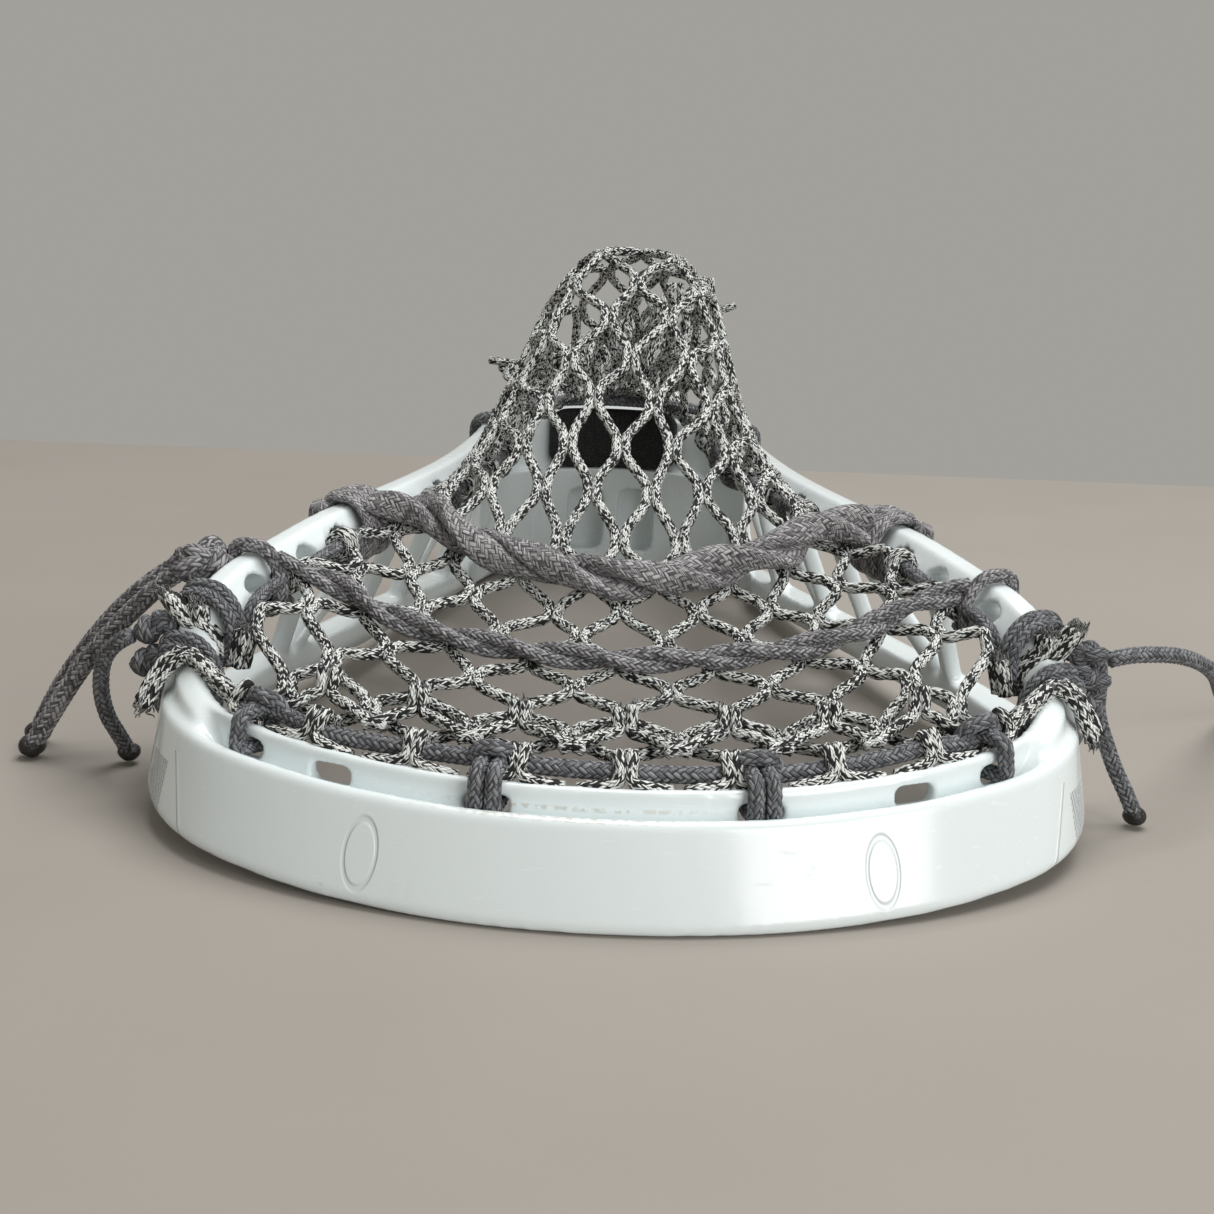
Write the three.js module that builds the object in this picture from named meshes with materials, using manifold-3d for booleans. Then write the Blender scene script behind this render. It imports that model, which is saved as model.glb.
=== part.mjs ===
// A strung men's lacrosse head lying face down, pocket up. Millimetres, +Z up.
// Inside the head group y runs from the scoop tip (0) to the open end of the shaft socket.
import * as THREE from 'three';
import { mergeVertices } from 'three/addons/utils/BufferGeometryUtils.js';
import Module from 'manifold-3d';

const wasm = await Module();
wasm.setup();

// ---- driving dimensions ----
const headLength = 325;
const faceLength = 254;
const railTop = 46;
const gap = 0.35;

const bandHeight = 17;
const bandLean = 5;
const lipThickness = 1.5;
const gutterDepth = 3;
const flangeSetback = 5;
const flangeHeight = 3.2;
const flangeThickness = 2;
const lowerRailHeight = 7;
const lowerRailWidth = 6.5;
const upperRailWidth = 8;
const upperRailDepth = 8;
const webThickness = 3.4;

const slotWidth = 7.5;
const slotHeight = 3.6;
const slotDrop = 0.6;
const loopSlots = [23.5, 68.5];
const emptySlots = [51.5];

const emptyHoleYs = [71, 87, 118];
const lacedHoleYs = [99, 145, 168, 199, 217];
const holeDrop = 4;
const topKnotY = 54.5;
const sideKnotY = 60.5;
const knotWrapWidth = 5;
const wrapThickness = 2.4;
const cornerKnotRadii = [4.2, 3.7, 3.7];
const sideKnotAt = [5.6, -4];
const topKnotAt = [3, -3.8];
const stringWrapY = 74.5;
const stringKnotY = 72.5;
const stringWrapWidth = 5.5;
const laceWrapY = 108;

const socketCentreZ = 24;
const socketRadius = 18;
const boreFlats = 26.5;
const boreDepth = 56;
const screwHoleRadius = 2.2;
const screwFromEnd = 14;
const ballStopRadius = 38;
const shelfTop = 30;
const recess = { from: 2, to: 12.5, low: 6, high: 24, depth: 5 };
const padThickness = 4;
const padHalfWidth = 17;

const netThickness = 1.8;
const cordRadius = 1.4;
const lacingRadius = 1.2;
const shootingLaceRadius = 4.3;
const shootingStringRadius = 2.6;
const tailRadius = 1.5;
const flatTailRadius = 1.8;

// Outer lower edge of the right side, from the scoop tip round to the throat: [x, y, z].
const lowerHalf = [
  [24, 2.5, 0], [47, 9.6, 0.8], [61.6, 17.3, 1.8], [71.4, 25, 2.6], [78, 33.5, 3.4],
  [82.2, 43, 4.2], [84.3, 54, 4.9], [85, 64, 5.5], [83, 78, 6.2], [76.4, 100, 7],
  [69.4, 120, 7], [58, 160, 5.6],
  [48.5, 200, 3], [42, 232, 0.8], [36, 250, 0.3], [30, 262, 0.3],
];
// Outer top edge of the right-hand string rail, from the scoop corner to the throat: [x, y, z].
const upperHalf = [
  [80.8, 44, 11], [81.2, 49, 18.5], [80.5, 54, 28], [78, 60, 36], [74.5, 69, 40], [70, 80, 41.8], [62, 100, 44.5],
  [54, 120, 45.6], [43.5, 160, railTop], [38, 200, railTop], [35.5, 232, railTop],
  [33, 248, railTop], [30.5, 259, 45.2], [25, 270, 41.8],
];
// Height of the net's middle line along the head: [y, z].
const netCrown = [
  [13, 22.5], [30, 22.5], [55, 25.5], [84, 32], [100, 41], [120, 55], [140, 70], [160, 85],
  [172, 92], [182, 94.5], [194, 93], [208, 86], [222, 75], [235, 63], [245, 53],
];

// ---- helpers ----
const vec = (x, y, z) => new THREE.Vector3(x, y, z);
const lerp = THREE.MathUtils.lerp;
const ramp = THREE.MathUtils.smoothstep;

// The parameter between low and high where a rising function reaches a goal.
function solve(rising, goal, low = 0, high = 1) {
  for (let i = 0; i < 30; i++) {
    const middle = (low + high) / 2;
    if (rising(middle) < goal) low = middle;
    else high = middle;
  }
  return low;
}

// Value at y on a smooth curve through [y, value] pairs.
function valueAt(pairs, y) {
  const curve = new THREE.SplineCurve(pairs.map(([a, b]) => new THREE.Vector2(a, b)));
  return curve.getPoint(solve((t) => curve.getPoint(t).x, y)).y;
}

// Position on a right-hand edge at y, with the level direction that points into the head.
function edgeAt(half, y, side = 1) {
  const x = valueAt(half.map((p) => [p[1], p[0]]), y);
  const z = valueAt(half.map((p) => [p[1], p[2]]), y);
  const slope = valueAt(half.map((p) => [p[1], p[0]]), y + 1) - x;
  const inward = vec(-1, slope, 0).normalize();
  return { point: vec(side * x, y, z), inward: vec(side * inward.x, inward.y, 0) };
}

function place(edge, inwards, up) {
  return edge.point.clone().addScaledVector(edge.inward, inwards).add(vec(0, 0, up));
}

// Closed solid through rings of equal length; a looped loft has no end caps.
function loft(rings, looped = false) {
  const count = rings[0].length;
  const positions = rings.flat().flatMap((p) => [p.x, p.y, p.z]);
  const index = [];
  const spans = looped ? rings.length : rings.length - 1;
  for (let i = 0; i < spans; i++) {
    for (let j = 0; j < count; j++) {
      const a = i * count + j;
      const b = i * count + ((j + 1) % count);
      const c = ((i + 1) % rings.length) * count + j;
      const d = ((i + 1) % rings.length) * count + ((j + 1) % count);
      index.push(a, b, c, b, d, c);
    }
  }
  if (!looped) {
    for (const [ring, flip] of [[0, true], [rings.length - 1, false]]) {
      for (const [a, b, c] of capTriangles(rings[ring])) {
        const base = ring * count;
        if (flip) index.push(base + a, base + c, base + b);
        else index.push(base + a, base + b, base + c);
      }
    }
  }
  const geometry = new THREE.BufferGeometry();
  geometry.setAttribute('position', new THREE.Float32BufferAttribute(positions, 3));
  geometry.setIndex(index);
  return geometry;
}

// Triangles of a flat ring, found in the ring's own plane and wound like the ring.
function capTriangles(ring) {
  const normal = vec(0, 0, 0);
  ring.forEach((p, i) => normal.add(p.clone().cross(ring[(i + 1) % ring.length])));
  normal.normalize();
  const helper = Math.abs(normal.z) < 0.9 ? vec(0, 0, 1) : vec(1, 0, 0);
  const u = helper.clone().cross(normal).normalize();
  const v = normal.clone().cross(u);
  const flat = ring.map((p) => new THREE.Vector2(p.dot(u), p.dot(v)));
  return THREE.ShapeUtils.triangulateShape(flat, []);
}

function signedVolume(positions, index) {
  const [a, b, c] = [vec(0, 0, 0), vec(0, 0, 0), vec(0, 0, 0)];
  let volume = 0;
  for (let i = 0; i < index.count; i += 3) {
    a.fromBufferAttribute(positions, index.getX(i));
    b.fromBufferAttribute(positions, index.getX(i + 1));
    c.fromBufferAttribute(positions, index.getX(i + 2));
    volume += a.dot(b.cross(c)) / 6;
  }
  return volume;
}

// Manifold solid of a closed geometry, with its faces turned outwards.
function solid(geometry) {
  const bare = new THREE.BufferGeometry();
  bare.setAttribute('position', geometry.getAttribute('position').clone());
  if (geometry.index) bare.setIndex(geometry.index);
  const merged = mergeVertices(bare, 1e-4);
  const triVerts = [];
  for (let i = 0; i < merged.index.count; i += 3) {
    const [a, b, c] = [0, 1, 2].map((k) => merged.index.getX(i + k));
    if (a !== b && b !== c && c !== a) triVerts.push(a, b, c);
  }
  if (signedVolume(merged.attributes.position, new THREE.Uint32BufferAttribute(triVerts, 1)) < 0) {
    triVerts.reverse();
  }
  return new wasm.Manifold(new wasm.Mesh({
    numProp: 3,
    vertProperties: new Float32Array(merged.attributes.position.array),
    triVerts: new Uint32Array(triVerts),
  }));
}

function union(solids) {
  return solids.reduce((sum, part) => sum.add(part));
}

function geometryOf(body) {
  const mesh = body.getMesh();
  const geometry = new THREE.BufferGeometry();
  geometry.setAttribute('position', new THREE.Float32BufferAttribute(mesh.vertProperties, 3));
  geometry.setIndex(new THREE.Uint32BufferAttribute(mesh.triVerts, 1));
  return geometry;
}

function roundSection(radius, sides) {
  const points = [];
  for (let i = 0; i < sides; i++) {
    const angle = (i / sides) * Math.PI * 2;
    points.push(new THREE.Vector2(radius * Math.cos(angle), radius * Math.sin(angle)));
  }
  return new THREE.Shape(points);
}

// Capped tube along an open smooth curve.
function cord(points, radius, steps, sides = 8) {
  const extrudePath = new THREE.CatmullRomCurve3(points);
  const options = { steps, extrudePath, bevelEnabled: false, curveSegments: 1 };
  return solid(new THREE.ExtrudeGeometry(roundSection(radius, sides), options));
}

// Endless ring of cord through the given points.
function cordRing(points, radius, steps = 20, sides = 7) {
  const path = new THREE.CatmullRomCurve3(points, true);
  return solid(new THREE.TubeGeometry(path, steps, radius, sides, true));
}

function blob(centre, rx, ry, rz) {
  const geometry = new THREE.SphereGeometry(1, 10, 8);
  geometry.scale(rx, ry, rz);
  geometry.translate(centre.x, centre.y, centre.z);
  return solid(geometry);
}

// Straight bar between two points; thickness lies across the sidewall, width along it.
function beam(from, to, thickness, width) {
  const geometry = new THREE.BoxGeometry(thickness, width, from.distanceTo(to));
  const frame = new THREE.Object3D();
  frame.up.set(0, 0, 1);
  frame.position.copy(from).lerp(to, 0.5);
  frame.lookAt(to);
  frame.updateMatrix();
  geometry.applyMatrix4(frame.matrix);
  return solid(geometry);
}

// Flat-sided prism through a wall: an oval length x height, centred on a point, along a direction.
function ovalCutter(centre, direction, length, height, depth) {
  const shape = new THREE.Shape();
  shape.absellipse(0, 0, length / 2, height / 2, 0, Math.PI * 2);
  const options = { depth, bevelEnabled: false, curveSegments: 5 };
  const geometry = new THREE.ExtrudeGeometry(shape, options);
  geometry.translate(0, 0, -depth / 2);
  const frame = new THREE.Object3D();
  frame.up.set(0, 0, 1);
  frame.position.copy(centre);
  frame.lookAt(centre.clone().add(direction));
  frame.updateMatrix();
  geometry.applyMatrix4(frame.matrix);
  return solid(geometry);
}

// ---- head frame ----
// Smooth curve round the whole lower edge, from the left throat past the tip to the right throat.
function lowerCurve() {
  const right = lowerHalf.map(([x, y, z]) => vec(x, y, z));
  const left = lowerHalf.map(([x, y, z]) => vec(-x, y, z)).reverse();
  return new THREE.CatmullRomCurve3([...left, vec(0, 0, 0), ...right]);
}

// Scoop share of the lower sweep at y: 1 on the scoop, 0 on the plain rail.
const scoopShare = (y) => 1 - ramp(y, 62, 84);
const flangeShare = (y) => 1 - ramp(y, 48, 62);
const gutterShare = (y) => 1 - ramp(y, 25, 38);
const leanAt = (y) => lerp(1, lerp(3, bandLean, 1 - ramp(y, 5, 45)), scoopShare(y));
const bandTopAt = (y) => lerp(lowerRailHeight, bandHeight, scoopShare(y));

// Section of the scoop band and lower rail as [inwards, up] from the outer lower edge.
function lowerSection(y) {
  const lean = leanAt(y);
  const top = bandTopAt(y);
  const gutterFloor = top - gutterDepth * gutterShare(y);
  const flangeTop = top + flangeHeight * flangeShare(y);
  const flange = lean + flangeSetback;
  return [
    [0.8, 0], [0, 1.4], [lean - 0.4, top - 0.8], [lean + 0.3, top],
    [lean + 0.3 + lipThickness, top], [lean + 2.3, gutterFloor], [flange - 0.4, gutterFloor],
    [flange, flangeTop], [flange + flangeThickness, flangeTop],
    [flange + flangeThickness + 0.4, top - 4], [lowerRailWidth, 0],
  ];
}

function lowerSweep() {
  const curve = lowerCurve();
  const steps = 92;
  const rings = [];
  for (let i = 0; i <= steps; i++) {
    const point = curve.getPointAt(i / steps);
    point.z = Math.max(point.z, 0);
    const tangent = curve.getTangentAt(i / steps);
    const inward = vec(-tangent.y, tangent.x, 0).normalize();
    const edge = { point, inward };
    rings.push(lowerSection(point.y).map(([n, z]) => place(edge, n, z)));
  }
  return solid(loft(rings));
}

// Sweep of an [inwards, up] section along the outer top edge of one string rail.
function railSweep(side, section) {
  const curve = new THREE.CatmullRomCurve3(upperHalf.map(([x, y, z]) => vec(side * x, y, z)));
  const steps = 34;
  const rings = [];
  for (let i = 0; i <= steps; i++) {
    const point = curve.getPointAt(i / steps);
    const tangent = curve.getTangentAt(i / steps);
    const inward = vec(-side * tangent.y, side * tangent.x, 0).normalize();
    rings.push(section.map(([n, z]) => place({ point, inward }, n, z)));
  }
  return solid(loft(rings));
}

function upperRail(side) {
  const [width, depth] = [upperRailWidth, upperRailDepth];
  return railSweep(side, [
    [1, 0], [0, -1.2], [0.6, -depth], [width - 0.4, -depth], [width, -5], [width - 3.8, 0],
  ]);
}

// Plate between the two rails over a range of y.
function web(side, fromY, toY, steps) {
  const rings = [];
  for (let i = 0; i <= steps; i++) {
    const y = lerp(fromY, toY, i / steps);
    const low = edgeAt(lowerHalf, y, side);
    const high = edgeAt(upperHalf, y, side);
    const lowIn = leanAt(y) + 0.8;
    rings.push([
      place(low, lowIn, bandTopAt(y) - 3), place(high, 1.6, -upperRailDepth + 3),
      place(high, 1.6 + webThickness, -upperRailDepth + 3),
      place(low, lowIn + webThickness, bandTopAt(y) - 3),
    ]);
  }
  return solid(loft(rings));
}

// Struts of one sidewall as pairs: y on the lower rail, y on the string rail.
const strutYs = [
  [106, 92], [106, 124], [140, 132], [164, 156], [164, 178], [198, 188], [198, 210],
];

function struts(side) {
  const parts = [];
  for (const [lowY, highY] of strutYs) {
    const from = place(edgeAt(lowerHalf, lowY, side), 3.2, 3);
    const to = place(edgeAt(upperHalf, highY, side), 4, -5.5);
    parts.push(beam(from, to, 4, 5));
  }
  return union(parts);
}

// Outer shape of the throat and socket, ring by ring: [y, half width, low z, high z].
const throatRings = [
  [236, 33, 0, 44], [262, 31, 0, 44.5], [272, 26.5, 1.2, 44], [283, 22, 4, 43],
  [294, 19, 5.6, 42.3], [headLength, socketRadius, 6, 42],
];

function throat() {
  const rings = throatRings.map(([y, half, low, high]) => {
    const middle = (low + high) / 2;
    const tall = (high - low) / 2;
    const ring = [];
    for (let i = 0; i < 24; i++) {
      const angle = ((i + 0.5) / 24) * Math.PI * 2;
      const [c, s] = [Math.cos(angle), Math.sin(angle)];
      const bulge = 1 / Math.pow(Math.abs(c) ** 6 + Math.abs(s) ** 6, 1 / 6);
      ring.push(vec(half * c * bulge, y, middle + tall * s * bulge));
    }
    return ring;
  });
  const hollowHeight = 60;
  const lowHollow = new THREE.CylinderGeometry(ballStopRadius, ballStopRadius, hollowHeight, 40);
  lowHollow.rotateX(Math.PI / 2);
  lowHollow.translate(0, faceLength - ballStopRadius, shelfTop - hollowHeight / 2);
  const highHollow = lowHollow.clone();
  highHollow.translate(0, padThickness + gap, hollowHeight);
  const bore = new THREE.CylinderGeometry(1, 1, boreDepth + 1, 8);
  bore.rotateY(Math.PI / 8);
  const corner = boreFlats / 2 / Math.cos(Math.PI / 8);
  bore.scale(corner, 1, corner);
  bore.translate(0, headLength - boreDepth / 2 + 0.5, socketCentreZ);
  const screw = new THREE.CylinderGeometry(screwHoleRadius, screwHoleRadius, 20, 12);
  screw.rotateX(Math.PI / 2);
  screw.translate(0, headLength - screwFromEnd, 42);
  const recesses = [-1, 1].map((side) => {
    const { from, to, low, high, depth } = recess;
    const box = new THREE.BoxGeometry(to - from, 2 * depth, high - low);
    return box.translate((side * (from + to)) / 2, faceLength, (low + high) / 2);
  });
  const cutters = [lowHollow, highHollow, bore, screw, ...recesses].map(solid);
  return cutters.reduce((body, cutter) => body.subtract(cutter), solid(loft(rings)));
}

// Point and inward direction on the scoop's lower edge at a given x.
function scoopAt(x) {
  const curve = lowerCurve();
  const share = solve((t) => curve.getPointAt(t).x, x, 0.3, 0.7);
  const tangent = curve.getTangentAt(share);
  return { point: curve.getPointAt(share), inward: vec(-tangent.y, tangent.x, 0).normalize() };
}

const slotXs = [...loopSlots, ...emptySlots].flatMap((x) => [-x, x]);
const slotUp = (y) => bandTopAt(y) - slotDrop;

function slotCutter(x) {
  const edge = scoopAt(x);
  const y = edge.point.y;
  const centre = place(edge, leanAt(y) + flangeSetback + 1, slotUp(y));
  const geometry = new THREE.BoxGeometry(slotWidth, slotHeight, 8);
  const frame = new THREE.Object3D();
  frame.up.set(0, 0, 1);
  frame.position.copy(centre);
  frame.lookAt(centre.clone().add(edge.inward));
  frame.updateMatrix();
  geometry.applyMatrix4(frame.matrix);
  return solid(geometry);
}

function railHole(side, y) {
  const edge = edgeAt(upperHalf, y, side);
  return ovalCutter(place(edge, 4, -holeDrop), edge.inward, 6.4, 3.6, 14);
}

// The scoop, lower rails and corner webs, opened under the string rails where cords pass round them.
function lowerFrame() {
  const webs = [-1, 1].flatMap((side) => [web(side, 51, 74, 8), web(side, 228, 258, 5)]);
  let body = union([lowerSweep(), ...webs]);
  for (const side of [-1, 1]) {
    for (const y of [topKnotY, sideKnotY, stringWrapY]) {
      body = body.subtract(railWrap(side, y, stringWrapWidth, 4 * gap));
    }
  }
  return body;
}

function headFrame() {
  const sides = [-1, 1].flatMap((side) => [upperRail(side), struts(side)]);
  const body = union([lowerFrame(), ...sides, throat()]);
  const cutters = slotXs.map(slotCutter);
  for (const side of [-1, 1]) {
    [...emptyHoleYs, ...lacedHoleYs].forEach((y) => cutters.push(railHole(side, y)));
  }
  return cutters.reduce((rest, cutter) => rest.subtract(cutter), body);
}

// ---- soft parts ----
// Foam strip on the shelf of the throat wall, curved like the wall.
function ballStopPad() {
  const rings = [];
  const radius = ballStopRadius;
  for (let i = 0; i <= 12; i++) {
    const angle = lerp(-1, 1, i / 12) * Math.asin(padHalfWidth / radius);
    const centre = vec(0, faceLength - radius, 0);
    const along = vec(Math.sin(angle), Math.cos(angle), 0);
    const front = centre.clone().addScaledVector(along, radius - gap);
    const back = centre.clone().addScaledVector(along, radius + padThickness - 3 * gap);
    const [low, high] = [shelfTop + gap, railTop + 1];
    rings.push([
      front.clone().setZ(low), back.clone().setZ(low), back.clone().setZ(high - 1),
      front.clone().lerp(back, 0.5).setZ(high), front.clone().setZ(high - 1.5),
    ]);
  }
  return solid(loft(rings));
}

// The net as a smooth bag. Its edge runs just inside the string rails and round the scoop.
// A row is named by its share v of the way from the scoop (0) to the throat (1).
const netFrom = { middle: 17, side: 38 };
const netToY = 243;
const netSetback = upperRailWidth + 2 * lacingRadius + 3 * gap + 2.7;
const scoopEdgeZ = 22;

const rowMiddleY = (v) => lerp(netFrom.middle, netToY, v);
const rowSideY = (v) => lerp(netFrom.side, netToY, v);

function netEdge(y) {
  const rail = place(edgeAt(upperHalf, Math.max(y, 66)), netSetback, -holeDrop);
  const scoop = place(edgeAt(lowerHalf, y), 17.5, 0);
  const share = ramp(y, netFrom.side, 66);
  return vec(lerp(scoop.x, rail.x, share), y, lerp(scoopEdgeZ, rail.z, share));
}

// Share of the crown height at w (0 on the edge, 1 on the middle line); softer near the throat.
function archShare(w, y) {
  const full = 1 - (1 - w) ** (3 + 0.6 * ramp(y, 90, 130));
  const soft = Math.sin((w * Math.PI) / 2) ** 1.3;
  return lerp(full, soft, ramp(y, 212, 236));
}

function netPoint(u, v) {
  const edge = netEdge(rowSideY(v));
  const crown = valueAt(netCrown, rowMiddleY(v));
  const height = lerp(edge.z, crown, archShare(1 - Math.abs(u), rowMiddleY(v)));
  const lean = 3 * ramp(height, 55, 95);
  return vec(u * edge.x + lean, lerp(rowMiddleY(v), rowSideY(v), u * u), height);
}

// Height of the net's outer side over a point of the plan.
function netTopAt(x, y) {
  const across = (v) => Math.min(Math.abs(x) / netEdge(rowSideY(v)).x, 1);
  const v = solve((t) => lerp(rowMiddleY(t), rowSideY(t), across(t) ** 2), y);
  return netPoint(across(v), v).z;
}

function pocketNet() {
  const [across, along] = [18, 22];
  const rings = [];
  for (let j = 0; j <= along; j++) {
    const ring = [];
    for (let i = 0; i <= across; i++) ring.push(netPoint(-1 + (2 * i) / across, j / along));
    const under = ring.map((p, i) => {
      const before = ring[Math.max(i - 1, 0)];
      const after = ring[Math.min(i + 1, across)];
      const normal = vec(before.z - after.z, 0, after.x - before.x).normalize();
      return p.clone().addScaledVector(normal, -netThickness);
    });
    rings.push([...ring, ...under.reverse()]);
  }
  return solid(loft(rings));
}

// The end of the net, gathered behind the throat string and standing up as a crumpled fan.
function netTail() {
  const rings = [];
  const count = 14;
  for (let i = 0; i <= count; i++) {
    const share = i / count;
    const x = lerp(-34, 32, share);
    const y = 262 + 4 * Math.sin(share * Math.PI * 5);
    const top = lerp(58, 84, ramp(share, 0.1, 0.85)) - 8 * ramp(share, 0.9, 1);
    const foot = vec(x * 0.55, 255 + 2 * Math.sin(share * Math.PI * 5), 48.6);
    rings.push([
      foot, vec(x, y, top), vec(x, y + 2.2, top), foot.clone().add(vec(0, 2.2, 0)),
    ]);
  }
  return solid(loft(rings));
}

// Cord along the inside of the scoop flange, with a loop through each laced slot.
function topString() {
  const xs = [-74, -68, -58, -46, -32, -16, 0, 16, 32, 46, 58, 68, 74];
  const points = xs.map((x) => {
    const edge = scoopAt(x);
    const y = edge.point.y;
    const inner = leanAt(y) + flangeSetback + flangeThickness + 0.6 + cordRadius + 2 * gap;
    return place(edge, inner, bandTopAt(y) + 4.6);
  });
  const loops = loopSlots.flatMap((x) => [-x - 1.6, -x + 1.6, x - 1.6, x + 1.6]).map((x) => {
    const edge = scoopAt(x);
    const y = edge.point.y;
    const reach = lacingRadius + gap;
    const flange = leanAt(y) + flangeSetback;
    const [outer, inner] = [flange - reach, flange + flangeThickness + reach];
    const [low, high] = [slotUp(y), bandTopAt(y) + flangeHeight + reach];
    return cordRing([
      place(edge, outer, low), place(edge, outer + 0.5, high), place(edge, inner, high),
      place(edge, inner + 1.2, (low + high) / 2), place(edge, inner, low),
      place(edge, (outer + inner) / 2, low),
    ], lacingRadius, 12, 6);
  });
  return union([cord(points, cordRadius, 36), ...loops]);
}

// Lacing along the inside of one string rail, looped through its holes and under the rail.
function sidewallString(side, radius = lacingRadius) {
  const points = [];
  for (let i = 0; i <= 10; i++) {
    const rail = edgeAt(upperHalf, lerp(88, lacedHoleYs.at(-1), i / 10), side);
    points.push(place(rail, upperRailWidth + lacingRadius + gap, -holeDrop));
  }
  const loops = lacedHoleYs.map((y) => {
    const rail = edgeAt(upperHalf, y, side);
    const reach = lacingRadius + 2 * gap;
    const [outer, inner] = [-reach, upperRailWidth + reach - gap];
    const bottom = -upperRailDepth - reach;
    return cordRing([
      place(rail, outer, -holeDrop), place(rail, outer, bottom),
      place(rail, upperRailWidth / 2, bottom - 0.4), place(rail, inner, bottom),
      place(rail, inner, -holeDrop), place(rail, upperRailWidth / 2, -holeDrop),
    ], radius, 12, 6);
  });
  return union([cord(points, radius, 26), ...loops]);
}

// Takes the lacing with its clearance out of whatever crosses it at the rails.
function clearOfLacing(body) {
  const grown = [-1, 1].map((side) => sidewallString(side, lacingRadius + gap));
  return body.subtract(grown[0]).subtract(grown[1]);
}

// Band wound round one string rail: width along the rail, clear of its faces. The grown band is
// the same one with the clearance added all round, for cutting a way for it.
function railWrap(side, y, width, grow = 0) {
  const ahead = edgeAt(upperHalf, y + 1).point;
  const stretch = ahead.distanceTo(edgeAt(upperHalf, y - 1).point) / 2;
  const [left, right] = [-gap - 0.2, upperRailWidth + gap];
  const [low, high] = [-upperRailDepth - gap - 0.1, gap];
  const corners = [
    [left, low], [left, high - 1], [left + 1, high], [right - 1, high], [right, high - 1],
    [right, low],
  ];
  const middle = [(left + right) / 2, (low + high) / 2];
  const far = wrapThickness * 1.25 + grow;
  const rings = corners.map(([n, z]) => {
    const out = new THREE.Vector2(n - middle[0], z - middle[1]).normalize();
    return [[-1, -grow], [1, -grow], [1, far], [-1, far]].map(([along, reach]) => {
      const rail = edgeAt(upperHalf, y + (along * width) / stretch / 2, side);
      return place(rail, n + out.x * reach, z + out.y * reach).add(vec(0, along * grow, 0));
    });
  });
  return solid(loft(rings, true));
}

// Route across the net from [x, y, rise] stations of the right half, lying on its outer side.
function acrossNet(stations, radius) {
  const right = stations.map(([x, y, rise]) => [x, y, netTopAt(x, y) + radius + rise]);
  const left = right.filter(([x]) => x > 0).map(([x, y, z]) => [-x, y, z]).reverse();
  return [...left, ...right].map(([x, y, z]) => vec(x, y, z));
}

// Twisted flat laces across the pocket mouth, with a wrap round each rail.
function shootingLace() {
  const stations = [[0, 84, 1], [18, 88.5, 1], [33, 96, 1], [42, 103, 2], [47.5, 107, 2.5]];
  const wraps = [-1, 1].map((side) => railWrap(side, laceWrapY, 11));
  const route = acrossNet(stations, shootingLaceRadius);
  return clearOfLacing(union([cord(route, shootingLaceRadius, 30, 12), ...wraps]));
}

// Twisted pair of round cords nearer the scoop, wrapped on both rails and knotted on the left one.
function shootingString() {
  const stations = [[0, 55, 1], [25, 59, 1], [42, 63.5, 1], [54, 70, 1.5], [61, 74, 2]];
  const wraps = [-1, 1].map((side) => railWrap(side, stringWrapY, stringWrapWidth));
  const knot = blob(place(edgeAt(upperHalf, stringKnotY, -1), -5.5, -0.8), 5.5, 4.4, 4.4);
  const route = acrossNet(stations, shootingStringRadius);
  const body = union([cord(route, shootingStringRadius, 30, 9), ...wraps, knot]);
  return body.subtract(railCore(-1));
}

// Space of one string rail with its clearance, for cutting what is knotted against it.
function railCore(side) {
  const [right, low] = [upperRailWidth + gap, -upperRailDepth - gap];
  return railSweep(side, [[-gap, gap], [-gap, low], [right, low], [right, gap]]);
}

// Lashing round the rail through a corner opening, with its knot on the outside.
function cornerKnot(side, y, [out, up]) {
  const wrap = railWrap(side, y, knotWrapWidth);
  const knot = blob(place(edgeAt(upperHalf, y, side), -out, up), ...cornerKnotRadii);
  return union([wrap, knot]).subtract(railCore(side));
}

// Bottom lacing across the throat, looped round both string rails.
function throatString() {
  const points = [
    vec(-33, 224, 48.4), vec(-28, 226, 49.6), vec(-22, 234, 50.5), vec(-12, 245, 50.2),
    vec(0, 249.5, 50), vec(12, 245, 50.2), vec(22, 234, 50.5), vec(28, 226, 49.6),
    vec(33, 224, 48.4),
  ];
  const wraps = [-1, 1].map((side) => railWrap(side, 224, 3));
  return union([cord(points, cordRadius, 26), ...wraps]);
}

// Cut end of the net folded out over the scoop corner.
function netEnd(side) {
  const points = [
    vec(side * 63, 40, 25.5), vec(side * 67, 42, 29), vec(side * 73, 44.5, 29.5),
    vec(side * 80, 45.5, 27), vec(side * 86, 45, 22.5),
  ];
  return cord(points, 2, 8);
}

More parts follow.
